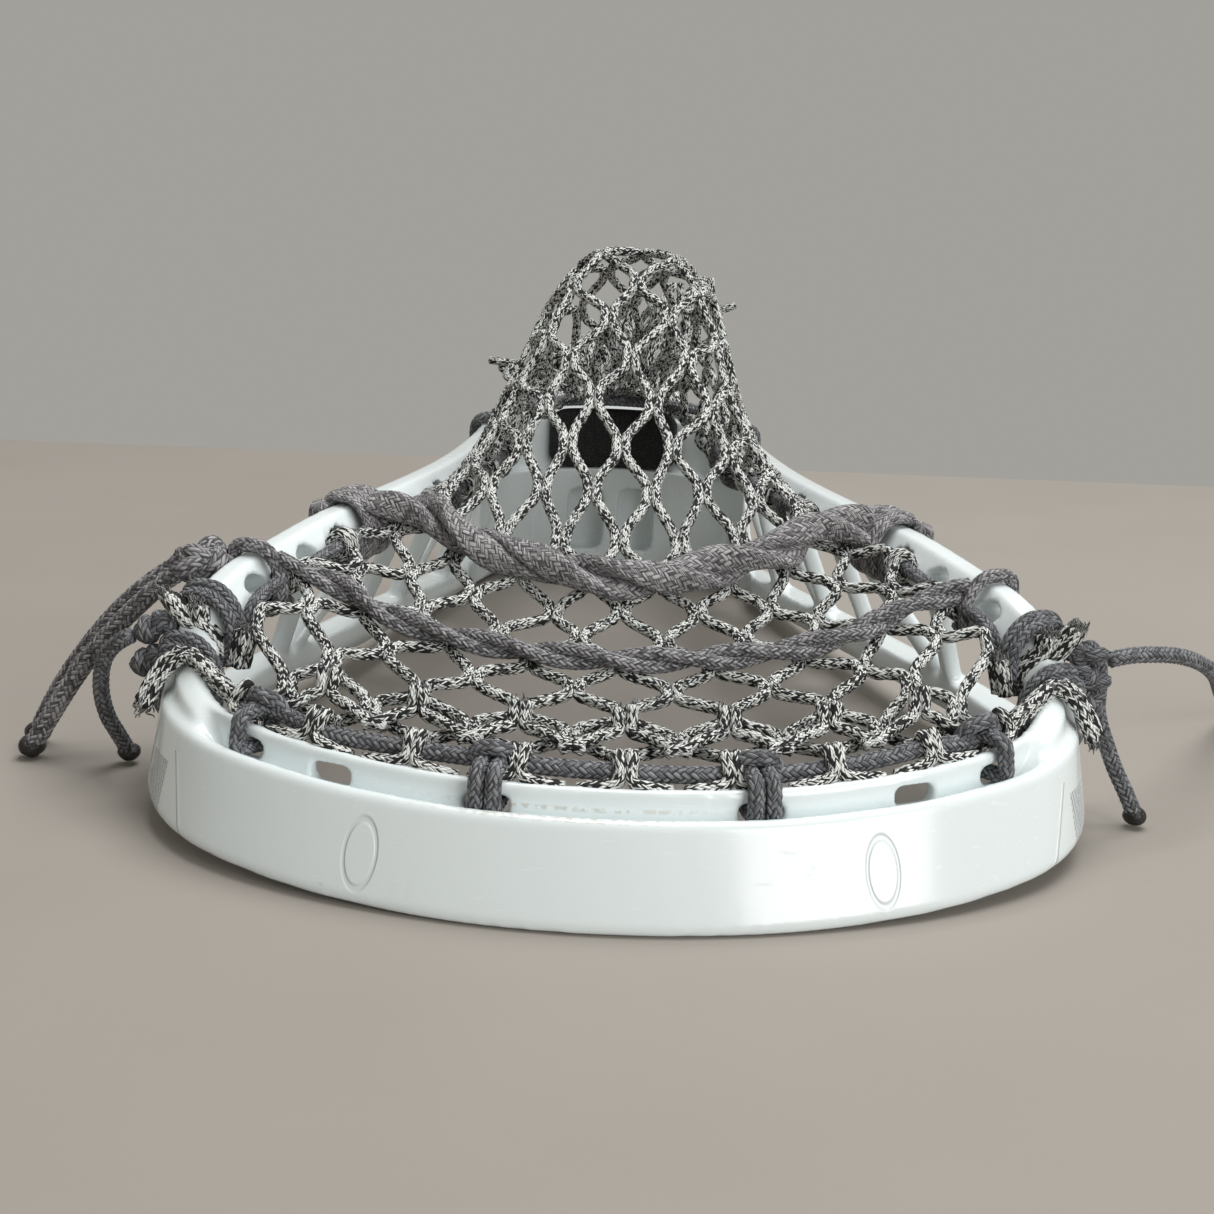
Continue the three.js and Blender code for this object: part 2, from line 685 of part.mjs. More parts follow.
// ---- free tails, from the knot that each leaves to its cut end ----
const tails = {
  tail_left_front: { radius: flatTailRadius, steps: 12, route: [
    [-82.9, 71.6, 37.7], [-85.4, 71.7, 35.9], [-88.2, 71.8, 33.3], [-94, 71.9, 27.5],
    [-99.3, 72, 21.4], [-103.6, 72.2, 15.3], [-107.4, 72.3, 9.2], [-111.5, 72.5, 2.4],
  ] },
  tail_left_back: { radius: flatTailRadius, steps: 12, route: [
    [-85, 76.2, 37.4], [-89.4, 76.6, 34.2], [-94.4, 77.2, 29.7], [-99.4, 77.8, 24],
    [-103.6, 78.6, 18.5], [-107.4, 79.3, 12.8], [-110.2, 80.2, 7.9], [-113, 81.1, 2.4],
  ] },
  tail_left_short: { radius: tailRadius, steps: 12, route: [
    [-88.2, 57.4, 29.2], [-90.4, 58.4, 27.8], [-92.8, 60, 25.5], [-94.7, 62, 22], [-95.7, 64.1, 16.6],
    [-95.3, 66.3, 11.1], [-94.1, 68.6, 6.9], [-92.6, 71.1, 2.2],
  ] },
  tail_right_long: { radius: tailRadius, steps: 30, route: [
    [88, 57.6, 31.3], [90, 58.3, 31.6], [93, 59.9, 31.7], [97, 62, 31.4], [102, 65, 30.6],
    [107, 69.4, 28.8], [112, 75.4, 26], [116.6, 83, 22.6], [121, 92, 18.6], [125.4, 101.6, 14],
    [130, 111, 9.4], [135, 120, 5.2], [141, 128, 2.4], [148, 135, 1.6], [155, 141.5, 1.6],
  ] },
  tail_right_short: { radius: tailRadius, steps: 14, route: [
    [89.5, 54, 31.2], [89.3, 54.4, 27.4], [88.8, 55.2, 23.2], [88.8, 55.8, 18.4], [90.2, 56.1, 13],
    [92.8, 56, 7.4], [95.6, 55.9, 2.2],
  ] },
};

const material = (name, color, roughness, metalness = 0) =>
  new THREE.MeshStandardMaterial({ name, color, roughness, metalness });

const plastic = () => material('moulded_plastic', 0xe9eff0, 0.25);
const foam = () => material('foam', 0x161616, 0.9);
const net = () => material('net_cord', 0x8a8a88, 0.8);
const grey = () => material('nylon_cord', 0x5c5d60, 0.8);
const lace = () => material('shooting_lace', 0x6d6a6c, 0.85);

const head = new THREE.Group();
head.position.set(0, -headLength / 2, 0);

function add(name, body, finish) {
  const mesh = new THREE.Mesh(geometryOf(body), finish);
  mesh.name = name;
  head.add(mesh);
}

add('head_frame', headFrame(), plastic());
add('ball_stop_pad', ballStopPad(), foam());
add('pocket_net', pocketNet(), net());
add('net_tail', netTail(), net());
add('top_string', topString(), grey());
add('throat_string', throatString(), grey());
add('shooting_lace', shootingLace(), lace());
add('shooting_string', shootingString(), lace());
for (const [side, word] of [[-1, 'left'], [1, 'right']]) {
  add(`sidewall_string_${word}`, sidewallString(side), grey());
  add(`sidewall_knot_${word}`, cornerKnot(side, sideKnotY, sideKnotAt), grey());
  add(`top_string_knot_${word}`, cornerKnot(side, topKnotY, topKnotAt), grey());
  add(`net_end_${word}`, netEnd(side), net());
}
for (const [name, { radius, steps, route }] of Object.entries(tails)) {
  const finish = radius === flatTailRadius ? lace() : grey();
  add(name, cord(route.map(([x, y, z]) => vec(x, y, z)), radius, steps), finish);
}

export default head;
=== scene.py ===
import math

import bmesh
import bpy
import numpy as np
from mathutils import Matrix, Vector


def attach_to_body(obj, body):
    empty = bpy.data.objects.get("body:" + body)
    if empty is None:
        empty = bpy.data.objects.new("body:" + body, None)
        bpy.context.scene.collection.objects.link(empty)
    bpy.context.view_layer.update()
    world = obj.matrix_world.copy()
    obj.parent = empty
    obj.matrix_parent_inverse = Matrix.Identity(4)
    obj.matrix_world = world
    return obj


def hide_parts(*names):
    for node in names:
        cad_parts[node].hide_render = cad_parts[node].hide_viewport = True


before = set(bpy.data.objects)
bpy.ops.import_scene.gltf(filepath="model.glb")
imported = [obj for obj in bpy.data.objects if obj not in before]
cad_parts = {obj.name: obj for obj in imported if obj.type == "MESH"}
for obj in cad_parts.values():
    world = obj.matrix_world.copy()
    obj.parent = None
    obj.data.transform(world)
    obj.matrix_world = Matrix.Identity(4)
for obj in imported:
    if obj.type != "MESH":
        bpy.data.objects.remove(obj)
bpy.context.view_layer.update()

TAU = 2 * math.pi
HEAD_LENGTH = 325.0
FACE_LENGTH = 254.0
RAIL_WIDTH = 8.0
RAIL_DEPTH = 8.0
BAND_HEIGHT = 17.0
LIP_THICKNESS = 1.5
GUTTER_DEPTH = 3.0
FLANGE_SETBACK = 5.0
FLANGE_HEIGHT = 3.2
FLANGE_THICKNESS = 2.0
SLOT_DROP = 0.6
HOLE_DROP = 4.0
CORD = 1.4
LACING = 1.25
NET_CORD = 1.07
TOP_KNOT_Y = 53.6
SIDE_KNOT_Y = 59.8
STRING_WRAP_Y = 74.5
LACE_WRAP_Y = 108.0
LOOP_SLOTS = (23.5, 68.5)
EMPTY_SLOTS = (51.5,)
EMPTY_HOLES = (71.0, 87.0, 118.0)
LACED_HOLES = (99.0, 145.0, 168.0, 199.0, 217.0)
SOCKET_Z = 24.0
BORE_FLATS = 26.5
BORE_DEPTH = 56.0
BALL_STOP_RADIUS = 38.0
SHELF_TOP = 30.0
PAD_THICKNESS = 4.0
SCREW_FROM_END = 14
SCREW_HOLE_RADIUS = 2.2
WRAP_CLEARANCE = 0.35
HITCH_RADIUS = 2.25
LACE_TWIST = 38.0
STRING_TWIST = 30.0
CORD_SIDES = 32
VOXEL = 0.6
FACE_LIMIT = 190000
SIDES = ((-1, "left"), (1, "right"))

# The camera: how far it looks down, turns and rolls in degrees, its place and its lens.
CAMERA_ANGLES = (14.0, -1.0, 2.4)
CAMERA_AT = (-8.5, -246.7, 113.5)
CAMERA_LENS = 51.98

# Outer lower edge of the right side, from the tip round to the throat.
LOWER_HALF = [
    (24, 2.5, 0), (47, 9.6, 0.8), (61.6, 17.3, 1.8), (71.4, 25, 2.6), (78, 33.5, 3.4),
    (82.2, 43, 4.2), (84.3, 54, 4.9), (85, 64, 5.5), (83, 78, 6.2), (76.4, 100, 7),
    (69.4, 120, 7), (58, 160, 5.6), (48.5, 200, 3), (42, 232, 0.8), (36, 250, 0.3), (30, 262, 0.3),
]
# Outer top edge of the right-hand string rail, from the scoop corner to the throat.
UPPER_HALF = [
    (80.8, 44, 11), (81.2, 49, 18.5), (80.5, 54, 28), (78, 60, 36), (74.5, 69, 40),
    (70, 80, 41.8), (62, 100, 44.5), (54, 120, 45.6), (43.5, 160, 46), (38, 200, 46),
    (35.5, 232, 46), (33, 248, 46), (30.5, 259, 45.2), (25, 270, 41.8),
]
# Height of the net's middle line along the head, as (y, z).
NET_CROWN = [
    (13, 22.5), (30, 22.5), (55, 25.5), (84, 32), (100, 41), (120, 55), (140, 70), (160, 85),
    (172, 92), (182, 94.5), (194, 93), (208, 86), (222, 75), (235, 63), (245, 53),
]

# Free tails, from the knot that each leaves to its cut end: the same routes as their solids.
TAILS = {
    "tail_left_front": (1.8, "shooting_lace", [
        (-82.9, 71.6, 37.7), (-85.4, 71.7, 35.9), (-88.2, 71.8, 33.3), (-94, 71.9, 27.5),
        (-99.3, 72, 21.4), (-103.6, 72.2, 15.3), (-107.4, 72.3, 9.2), (-111.5, 72.5, 2.4)]),
    "tail_left_back": (1.8, "shooting_lace", [
        (-85, 76.2, 37.4), (-89.4, 76.6, 34.2), (-94.4, 77.2, 29.7), (-99.4, 77.8, 24),
        (-103.6, 78.6, 18.5), (-107.4, 79.3, 12.8), (-110.2, 80.2, 7.9), (-113, 81.1, 2.4)]),
    "tail_left_short": (1.5, "nylon_cord", [
        (-88.2, 57.4, 29.2), (-90.4, 58.4, 27.8), (-92.8, 60, 25.5), (-94.7, 62, 22),
        (-95.7, 64.1, 16.6), (-95.3, 66.3, 11.1), (-94.1, 68.6, 6.9), (-92.6, 71.1, 2.2)]),
    "tail_right_long": (1.5, "nylon_cord", [
        (88, 57.6, 31.3), (90, 58.3, 31.6), (93, 59.9, 31.7), (97, 62, 31.4), (102, 65, 30.6),
        (107, 69.4, 28.8), (112, 75.4, 26), (116.6, 83, 22.6), (121, 92, 18.6),
        (125.4, 101.6, 14), (130, 111, 9.4), (135, 120, 5.2), (141, 128, 2.4), (148, 135, 1.6),
        (155, 141.5, 1.6)]),
    "tail_right_short": (1.5, "nylon_cord", [
        (85.8, 56.8, 31.6), (86.2, 56.4, 27.2), (86.3, 56.3, 22.8), (87.1, 56.3, 19.6),
        (88.5, 56.3, 16.2), (90.6, 56.1, 11.4), (93.2, 56, 6.6), (95.4, 55.9, 2.2)]),
}


def to_row(points):
    """Millimetres from the scoop tip to metres in the row frame."""
    return (np.asarray(points, float) - (0, HEAD_LENGTH / 2, 0)) * 0.001


# ---- the camera ----
def make_camera():
    pitch, turn, roll = (math.radians(a) for a in CAMERA_ANGLES)
    forward = Vector((-math.sin(turn) * math.cos(pitch), math.cos(turn) * math.cos(pitch),
                      -math.sin(pitch)))
    level = Vector((math.cos(turn), math.sin(turn), 0))
    above = level.cross(forward)
    right = level * math.cos(roll) + above * math.sin(roll)
    up = above * math.cos(roll) - level * math.sin(roll)
    data = bpy.data.cameras.new("camera")
    data.lens = CAMERA_LENS
    data.sensor_width = 36.0
    data.clip_start = 0.01
    camera = bpy.data.objects.new("camera", data)
    bpy.context.scene.collection.objects.link(camera)
    place = Matrix((right, up, -forward)).transposed().to_4x4()
    place.translation = to_row(CAMERA_AT)
    camera.matrix_world = place
    bpy.context.scene.camera = camera


make_camera()


# ---- curves ----
def smooth_curve(points, per_span=16, closed=False):
    """Dense points on a centripetal Catmull-Rom curve."""
    p = np.asarray(points, float)
    if closed:
        p = np.vstack([p[-1:], p, p[:2]])
    else:
        p = np.vstack([2 * p[0] - p[1], p, 2 * p[-1] - p[-2]])
    knots = np.maximum(np.linalg.norm(np.diff(p, axis=0), axis=1) ** 0.5, 1e-4)
    t = np.linspace(0, 1, per_span, endpoint=False)[:, None]
    spans = []
    for i in range(1, len(p) - 2):
        a, b, c = knots[i - 1], knots[i], knots[i + 1]
        leave = ((p[i] - p[i - 1]) / a - (p[i + 1] - p[i - 1]) / (a + b)
                 + (p[i + 1] - p[i]) / b) * b
        arrive = ((p[i + 1] - p[i]) / b - (p[i + 2] - p[i]) / (b + c)
                  + (p[i + 2] - p[i + 1]) / c) * b
        rise = p[i + 1] - p[i]
        spans.append(p[i] + leave * t + (3 * rise - 2 * leave - arrive) * t ** 2
                     + (leave + arrive - 2 * rise) * t ** 3)
    if not closed:
        spans.append(p[-2:-1])
    return np.vstack(spans)


def lengths_along(path):
    return np.concatenate([[0], np.cumsum(np.linalg.norm(np.diff(path, axis=0), axis=1))])


def even(path, step, closed=False):
    """The same line with points a step apart."""
    path = np.asarray(path, float)
    if closed:
        path = np.vstack([path, path[:1]])
    along = lengths_along(path)
    count = max(4, int(round(along[-1] / step)))
    goals = np.linspace(0, along[-1], count + 1)
    line = np.column_stack([np.interp(goals, along, path[:, k]) for k in range(3)])
    return line[:-1] if closed else line


def route(points, step=0.5, closed=False):
    return even(smooth_curve(points, 24, closed), step, closed)


def ramp(x, low, high):
    t = np.clip((np.asarray(x, float) - low) / (high - low), 0, 1)
    return t * t * (3 - 2 * t)


def blend(a, b, t):
    return a + (b - a) * t


def unit(v):
    """A direction, or a row of them, at length 1."""
    v = np.asarray(v, float)
    return v / (np.linalg.norm(v) if v.ndim == 1 else np.linalg.norm(v, axis=1)[:, None])


def square_to(tangent, direction):
    """The unit directions square to a line's tangents that lie nearest to a direction."""
    d = np.broadcast_to(np.asarray(direction, float), tangent.shape)
    return unit(d - tangent * (d * tangent).sum(1)[:, None])


# ---- meshes ----
class Shape:
    """Mesh data with a lay: turns round a cord, and millimetres along it."""

    def __init__(self):
        self.points = []
        self.faces = []
        self.lay = []
        self.count = 0

    def rings(self, rings, closed=False, along=None, ends=0.0):
        """Skin over rings of equal size. ends is how far the caps stand out, in millimetres."""
        rings = np.asarray(rings, float)
        n, k = rings.shape[:2]
        centres = rings.mean(axis=1)
        if along is None:
            along = lengths_along(np.vstack([centres, centres[:1]]) if closed else centres)
        faces, lay = [], []
        for i in range(n if closed else n - 1):
            j = (i + 1) % n
            s, t = along[i], along[i + 1] if i + 1 < len(along) else along[i]
            for a in range(k):
                b = (a + 1) % k
                faces.append((i * k + a, i * k + b, j * k + b, j * k + a))
                lay += [(a / k, s), ((a + 1) / k, s), ((a + 1) / k, t), (a / k, t)]
        points = [rings.reshape(-1, 3)]
        if not closed:
            for ring, turn in ((0, True), (n - 1, False)):
                other = centres[1] if ring == 0 else centres[-2]
                out = centres[ring] - other
                out /= max(np.linalg.norm(out), 1e-9)
                tip = n * k + (0 if ring == 0 else 1)
                points.append((centres[ring] + out * ends)[None])
                for a in range(k):
                    b = (a + 1) % k
                    edge = (ring * k + b, ring * k + a) if turn else (ring * k + a, ring * k + b)
                    faces.append((*edge, tip))
                    lay += [(a / k, along[ring]), ((a + 1) / k, along[ring]), (a / k, along[ring])]
        self.faces += [tuple(i + self.count for i in f) for f in faces]
        self.lay += lay
        self.points += points
        self.count += sum(len(p) for p in points)

    def cord(self, path, radius, sides=10, relief=None, flat=1.0, twist=0.0, closed=False,
             start=0.0, up=None):
        """Tube along a line. relief(turn, along) is how far its surface stands out; flat is its
        thickness over its width; twist is in turns per millimetre; up fixes the thin direction."""
        path = np.asarray(path, float)
        n = len(path)
        if closed:
            tangent = np.roll(path, -1, 0) - np.roll(path, 1, 0)
        else:
            tangent = np.gradient(path, axis=0)
        tangent = unit(tangent)
        if up is not None:
            thin = square_to(tangent, up)
        else:
            thin = np.empty_like(path)
            seed = np.array((0, 0, 1.0)) if abs(tangent[0][2]) < 0.9 else np.array((0, 1.0, 0))
            v = seed - tangent[0] * seed.dot(tangent[0])
            for i in range(n):
                v = unit(v - tangent[i] * v.dot(tangent[i]))
                thin[i] = v
        wide = np.cross(tangent, thin)
        along = lengths_along(np.vstack([path, path[:1]]) if closed else path) + start
        if closed and up is None:
            last = thin[-1] - tangent[0] * thin[-1].dot(tangent[0])
            slip = math.atan2(np.cross(thin[0], last).dot(tangent[0]), thin[0].dot(last))
            turn = -slip * np.arange(n) / n
            thin, wide = (thin * np.cos(turn)[:, None] + wide * np.sin(turn)[:, None],
                          wide * np.cos(turn)[:, None] - thin * np.sin(turn)[:, None])
        turns = np.arange(sides) / sides
        angle = turns * TAU
        r = np.broadcast_to(np.asarray(radius, float), (n,))[:, None] * np.ones(sides)
        if relief is not None:
            r = r + relief(turns[None, :], along[:n, None])
        a, b = r * np.cos(angle) * flat, r * np.sin(angle)
        spin = (twist * TAU * along[:n])[:, None]
        a, b = a * np.cos(spin) - b * np.sin(spin), a * np.sin(spin) + b * np.cos(spin)
        rings = path[:, None] + thin[:, None] * a[..., None] + wide[:, None] * b[..., None]
        self.rings(rings, closed, along, 0.45 * float(np.min(radius)) * flat)

    def object(self, name, material, slot, replaces=()):
        points = to_row(np.vstack(self.points))
        mesh = bpy.data.meshes.new(name)
        mesh.from_pydata(points.tolist(), [], self.faces)
        layer = mesh.uv_layers.new(name="lay")
        layer.data.foreach_set("uv", np.asarray(self.lay, np.float32).ravel())
        mesh.polygons.foreach_set("use_smooth", [True] * len(mesh.polygons))
        mesh.materials.append(material)
        mesh.update()
        piece = bpy.data.objects.new(name, mesh)
        bpy.context.scene.collection.objects.link(piece)
        return attach(piece, replaces)


def skin(rings, ends=0.0):
    shape = Shape()
    shape.rings(rings, ends=ends)
    return shape


def attach(piece, replaces=()):
    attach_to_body(piece, "root")
    if replaces:
        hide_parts(*replaces)
    return piece


def braid_relief(carriers, pitch, height):
    """Surface of a braid: each yarn passes over two others and under two."""
    def relief(turn, along):
        a = turn * carriers + along / pitch
        b = turn * carriers - along / pitch
        i, j = np.floor(a), np.floor(b)
        over = np.mod(i + j, 4) < 2
        across = np.where(over, a - i, b - j)
        passed = np.where(over, np.mod(i + b, 4) / 2, np.mod(j + a, 4) / 2 - 1)
        pillow = (1 - (2 * across - 1) ** 2) * (1 - (2 * np.clip(passed, 0, 1) - 1) ** 2)
        return height * (np.sqrt(np.clip(pillow, 0, 1)) - 0.6)
    return relief


CORD_RELIEF = braid_relief(8, 1.35, 0.34)


# ---- materials ----
def operator(kind, swapped=False):
    def apply(self, other=0.0):
        return self.nodes.math(kind, *((other, self) if swapped else (self, other)))
    return apply


class Value:
    """A number in a node tree: arithmetic on it adds the nodes."""

    def __init__(self, nodes, socket):
        self.nodes = nodes
        self.socket = socket

    __add__ = __radd__ = operator("ADD")
    __sub__ = operator("SUBTRACT")
    __rsub__ = operator("SUBTRACT", swapped=True)
    __mul__ = __rmul__ = operator("MULTIPLY")
    __truediv__ = operator("DIVIDE")
    __mod__ = operator("FLOORED_MODULO")
    __pow__ = operator("POWER")
    __gt__ = operator("GREATER_THAN")
    __lt__ = operator("LESS_THAN")
    __abs__ = operator("ABSOLUTE")
    floor = operator("FLOOR")
    sine = operator("SINE")
    root = operator("SQRT")


class Nodes:
    """Short forms for building a material's node tree."""

    def __init__(self, name):
        self.material = bpy.data.materials.new(name)
        self.material.use_nodes = True
        self.tree = self.material.node_tree
        self.tree.nodes.clear()
        output = self.tree.nodes.new("ShaderNodeOutputMaterial")
        self.shader = self.tree.nodes.new("ShaderNodeBsdfPrincipled")
        self.tree.links.new(self.shader.outputs[0], output.inputs["Surface"])

    def put(self, socket, value):
        value = getattr(value, "socket", value)
        if isinstance(value, bpy.types.NodeSocket):
            self.tree.links.new(value, socket)
        else:
            socket.default_value = value

    def node(self, kind, inputs=None, **settings):
        node = self.tree.nodes.new(kind)
        for key, value in settings.items():
            setattr(node, key, value)
        for key, value in (inputs or {}).items():
            self.put(node.inputs[key], value)
        return node

    def math(self, operation, a, b=0.0, clamp=False):
        node = self.node("ShaderNodeMath", {0: a, 1: b}, operation=operation, use_clamp=clamp)
        return Value(self, node.outputs[0])

    def mix(self, share, a, b, blend_type="MIX"):
        node = self.node("ShaderNodeMix", data_type="RGBA", blend_type=blend_type)
        for index, value in ((0, share), (6, a), (7, b)):
            self.put(node.inputs[index], value)
        return node.outputs[2]

    def choose(self, share, a, b):
        """a where share is 0, b where it is 1."""
        return Value(self, self.node("ShaderNodeMix", {0: share, 2: a, 3: b}).outputs[0])

    def noise(self, scale, detail, vector):
        inputs = {"Scale": scale, "Detail": detail, "Vector": vector}
        return Value(self, self.node("ShaderNodeTexNoise", inputs).outputs["Fac"])

    def chance(self, x, y):
        """A value from 0 to 1 that is fixed for each pair of whole numbers."""
        both = self.node("ShaderNodeCombineXYZ", {0: x, 1: y}).outputs[0]
        node = self.node("ShaderNodeTexWhiteNoise", {"Vector": both}, noise_dimensions="3D")
        return Value(self, node.outputs["Value"])

    def step_map(self, value, low, high):
        node = self.node("ShaderNodeMapRange", {0: value, 1: low, 2: high},
                         interpolation_type="SMOOTHSTEP")
        return Value(self, node.outputs[0])

    def place(self):
        """Where a point lies on its piece, in metres."""
        return self.node("ShaderNodeTexCoord").outputs["Object"]

    def parts(self, vector):
        split = self.node("ShaderNodeSeparateXYZ", {0: vector})
        return [Value(self, socket) for socket in split.outputs]

    def bump(self, height, distance):
        return self.node("ShaderNodeBump", {"Height": height, "Distance": distance}).outputs[0]

    def set(self, **values):
        for name, value in values.items():
            self.put(self.shader.inputs[name.replace("_", " ")], value)


def braid(name, carriers, pitch, dark, light, spread, roughness, sheen=0.0, gap=0.2,
          depth=0.0002, filaments=3.0):
    """Braided cord seen on its lay: yarns over two and under two, each with its own shade."""
    m = Nodes(name)
    turn, along, _ = m.parts(m.node("ShaderNodeUVMap", uv_map="lay").outputs[0])
    a, b = turn * carriers + along / pitch, turn * carriers - along / pitch
    i, j = a.floor(), b.floor()
    under = (i + j) % 4.0 > 1.5
    across = m.choose(under, a - i, b - j)
    passed = m.choose(under, (i + b) % 4.0 / 2.0, (j + a) % 4.0 / 2.0 - 1.0)
    edge, end = across * 2.0 - 1.0, passed * 2.0 - 1.0
    bow = m.math("SUBTRACT", 1.0, abs(end) ** 3.0, clamp=True)
    height = m.math("MULTIPLY", 1.0 - edge * edge, bow, clamp=True).root()
    yarn = m.choose(under, i, j) % carriers + under * 40.0
    strand = (across * filaments).floor()
    stitch = (m.choose(under, b, a) / 2.0).floor()
    luck = m.chance(yarn * 7.0 + strand, stitch + strand * 0.37)
    colour = m.mix(m.step_map(luck, 0.5 - spread, 0.5 + spread), (*dark, 1), (*light, 1))
    patch = m.noise(90.0, 3.0, m.place())
    # Painted shade: the colour darkens to the gap share where a yarn's height falls at its edges
    # and ends, between the yarns, and it also varies in random patches.
    gap_shade_and_patches = (gap + m.step_map(height, 0.1, 0.8) * (1 - gap)) * (0.82 + patch * 0.36)
    lines, fuzz = (across * (TAU * filaments)).sine(), m.noise(5200.0, 2.0, m.place())
    m.set(Base_Color=m.mix(1.0, colour, gap_shade_and_patches, "MULTIPLY"), Sheen_Weight=sheen,
          Sheen_Roughness=0.5, Roughness=roughness + (patch - 0.5) * 0.15,
          Normal=m.bump(height + (lines + fuzz) * 0.12, depth))
    return m.material


NET = braid("net_braid", 12.0, 1.25, (0.004, 0.004, 0.005), (0.80, 0.82, 0.79), 0.08, 0.75,
            gap=0.22, filaments=2.0)
NYLON = braid("nylon_braid", 8.0, 1.35, (0.07, 0.072, 0.08), (0.25, 0.258, 0.275), 0.5, 0.55,
              depth=0.00025)
LACE = braid("lace_braid", 16.0, 1.25, (0.09, 0.086, 0.09), (0.46, 0.445, 0.455), 0.45, 0.85,
             sheen=0.08, gap=0.3)
STRING = braid("string_braid", 10.0, 1.3, (0.075, 0.073, 0.077), (0.38, 0.372, 0.385), 0.45, 0.75,
               sheen=0.05, filaments=2.0)


def melted():
    m = Nodes("melted_end")
    lumps = m.noise(900.0, 4.0, m.place())
    m.set(Base_Color=m.mix(lumps, (0.004, 0.004, 0.004, 1), (0.022, 0.02, 0.018, 1)),
          Roughness=0.18 + lumps * 0.35, Normal=m.bump(lumps, 0.0006))
    return m.material


def foam():
    m = Nodes("foam")
    cells = m.node("ShaderNodeTexVoronoi", {"Vector": m.place()}, feature="DISTANCE_TO_EDGE")
    cells.inputs["Scale"].default_value = 1500.0
    pit_depth_and_shade = m.step_map(cells.outputs["Distance"], 0.0, 0.25)
    # Painted shade: the pits inside the foam cells are painted darker than their rims, and the bump
    # sinks the same pits.
    m.set(Base_Color=m.mix(pit_depth_and_shade, (0.035, 0.035, 0.036, 1), (0.008, 0.008, 0.008, 1)),
          Roughness=0.92, Normal=m.bump(pit_depth_and_shade, -0.00015))
    return m.material


# Marks on the scoop band, in metres of the row frame.
MARK_Z = 0.0085
MARK_HALF_HEIGHT = 0.0052
OVAL_X = 0.041
OVAL_HALF_WIDTH = 0.0026
HATCH_Y = 0.124
HATCH_PITCH = 0.0011


def plastic():
    """Glossy moulded nylon with faint flow marks, scuffs, moulded rings and grip hatching."""
    m = Nodes("moulded_plastic")
    place = m.place()
    x, y, z = m.parts(place)
    broad, fine = m.noise(14.0, 3.0, place), m.noise(900.0, 3.0, place)
    stretched = m.node("ShaderNodeMapping", {"Scale": (60.0, 900.0, 900.0), "Vector": place})
    streaks = m.step_map(m.noise(1.0, 4.0, stretched.outputs[0]), 0.62, 0.72)
    side, rise, front = abs(x), z - MARK_Z, y < -0.135
    # An oval ring outlined on each shoulder of the scoop, leaning in at the top.
    away = (side - OVAL_X + rise * 0.12) / OVAL_HALF_WIDTH
    high = rise / MARK_HALF_HEIGHT
    oval = (away * away + high * high).root()
    ring = (1.0 - m.step_map(abs(oval - 1.0), 0.04, 0.16)) * front
    # Fine cross-hatching on the outer corners of the scoop band.
    weave = (y * (TAU / HATCH_PITCH)).sine() * (z * (TAU / HATCH_PITCH)).sine()
    box = (abs(y + HATCH_Y) < 0.004) * (abs(rise) < MARK_HALF_HEIGHT)
    hatch = weave * ((side > 0.073) * box)
    # A raised line down the band in front of each patch.
    slant = y + 0.1375 - z * 0.48
    panel = (1.0 - m.step_map(abs(slant), 0.0001, 0.0005)) * ((side > 0.06) * (z < 0.0162))
    # A worn line along the scoop's top edge, a little left of the middle.
    worn = m.step_map(abs(x + 0.008), 0.034, 0.004) * m.step_map(abs(z - 0.0169), 0.0006, 0.0001)
    worn = worn * front * m.step_map(fine, 0.45, 0.6)
    shade = m.mix(broad, (0.72, 0.79, 0.80, 1), (0.80, 0.86, 0.865, 1))
    shade = m.mix(worn * 0.45, shade, (0.42, 0.33, 0.22, 1))
    # Painted shade: the ring's sunk groove is painted a darker grey of the plastic's own hue.
    shade = m.mix(ring * 0.2, shade, (0.5, 0.56, 0.57, 1))
    height = fine * 0.04 + ring * -0.8 + hatch * 1.6 + panel * 1.2
    m.set(Base_Color=shade, Roughness=0.14 + broad * 0.08 + streaks * 0.22, IOR=1.53,
          Coat_Weight=0.25, Coat_Roughness=0.12, Normal=m.bump(height, 0.0002))
    return m.material


MELTED = melted()
PLASTIC = plastic()
FOAM = foam()


# ---- free tails ----
def melted_tip(name, centre, radii, slot, seed):
    """Lumpy rounded end of a cut cord."""
    chance = np.random.default_rng(seed)
    waves = chance.normal(size=(5, 3))
    rings = []
    for i in range(1, 16):
        polar = math.pi * i / 16
        angle = np.arange(24) / 24 * TAU
        unit = np.column_stack([np.sin(polar) * np.cos(angle), np.sin(polar) * np.sin(angle),
                                np.full(24, -np.cos(polar))])
        lump = 1 + 0.15 * np.sin(unit @ waves.T * 2.2).mean(axis=1)
        rings.append(np.asarray(centre) + unit * radii * lump[:, None])
    return skin(rings, 0.15).object(name, MELTED, slot)


def make_tails():
    for seed, (name, (radius, slot, points)) in enumerate(TAILS.items()):
        path = route(points, 0.4)
        wide = slot == "shooting_lace"
        relief = braid_relief(10, 1.3, 0.28) if wide else CORD_RELIEF
        shape = Shape()
        shape.cord(path, radius * (1.16 if wide else 0.96), CORD_SIDES, relief,
                   flat=0.86 if wide else 1.0)
        title = name.replace("tail_", "") + "_tail"
        tail = shape.object(title, STRING if wide else NYLON, slot, [name])
        if name != "tail_right_long":
            melted_tip(f"{title}_end", path[-1] + (0, 0, 0.1),
                                   np.array((1.45, 1.45, 1.15)) * radius, slot, seed + 3)


make_tails()


# ---- the head frame ----
LOWER_LINE = smooth_curve(
    [(-x, y, z) for x, y, z in reversed(LOWER_HALF)] + [(0, 0, 0)] + LOWER_HALF, 24)
UPPER_LINE = smooth_curve(UPPER_HALF, 24)


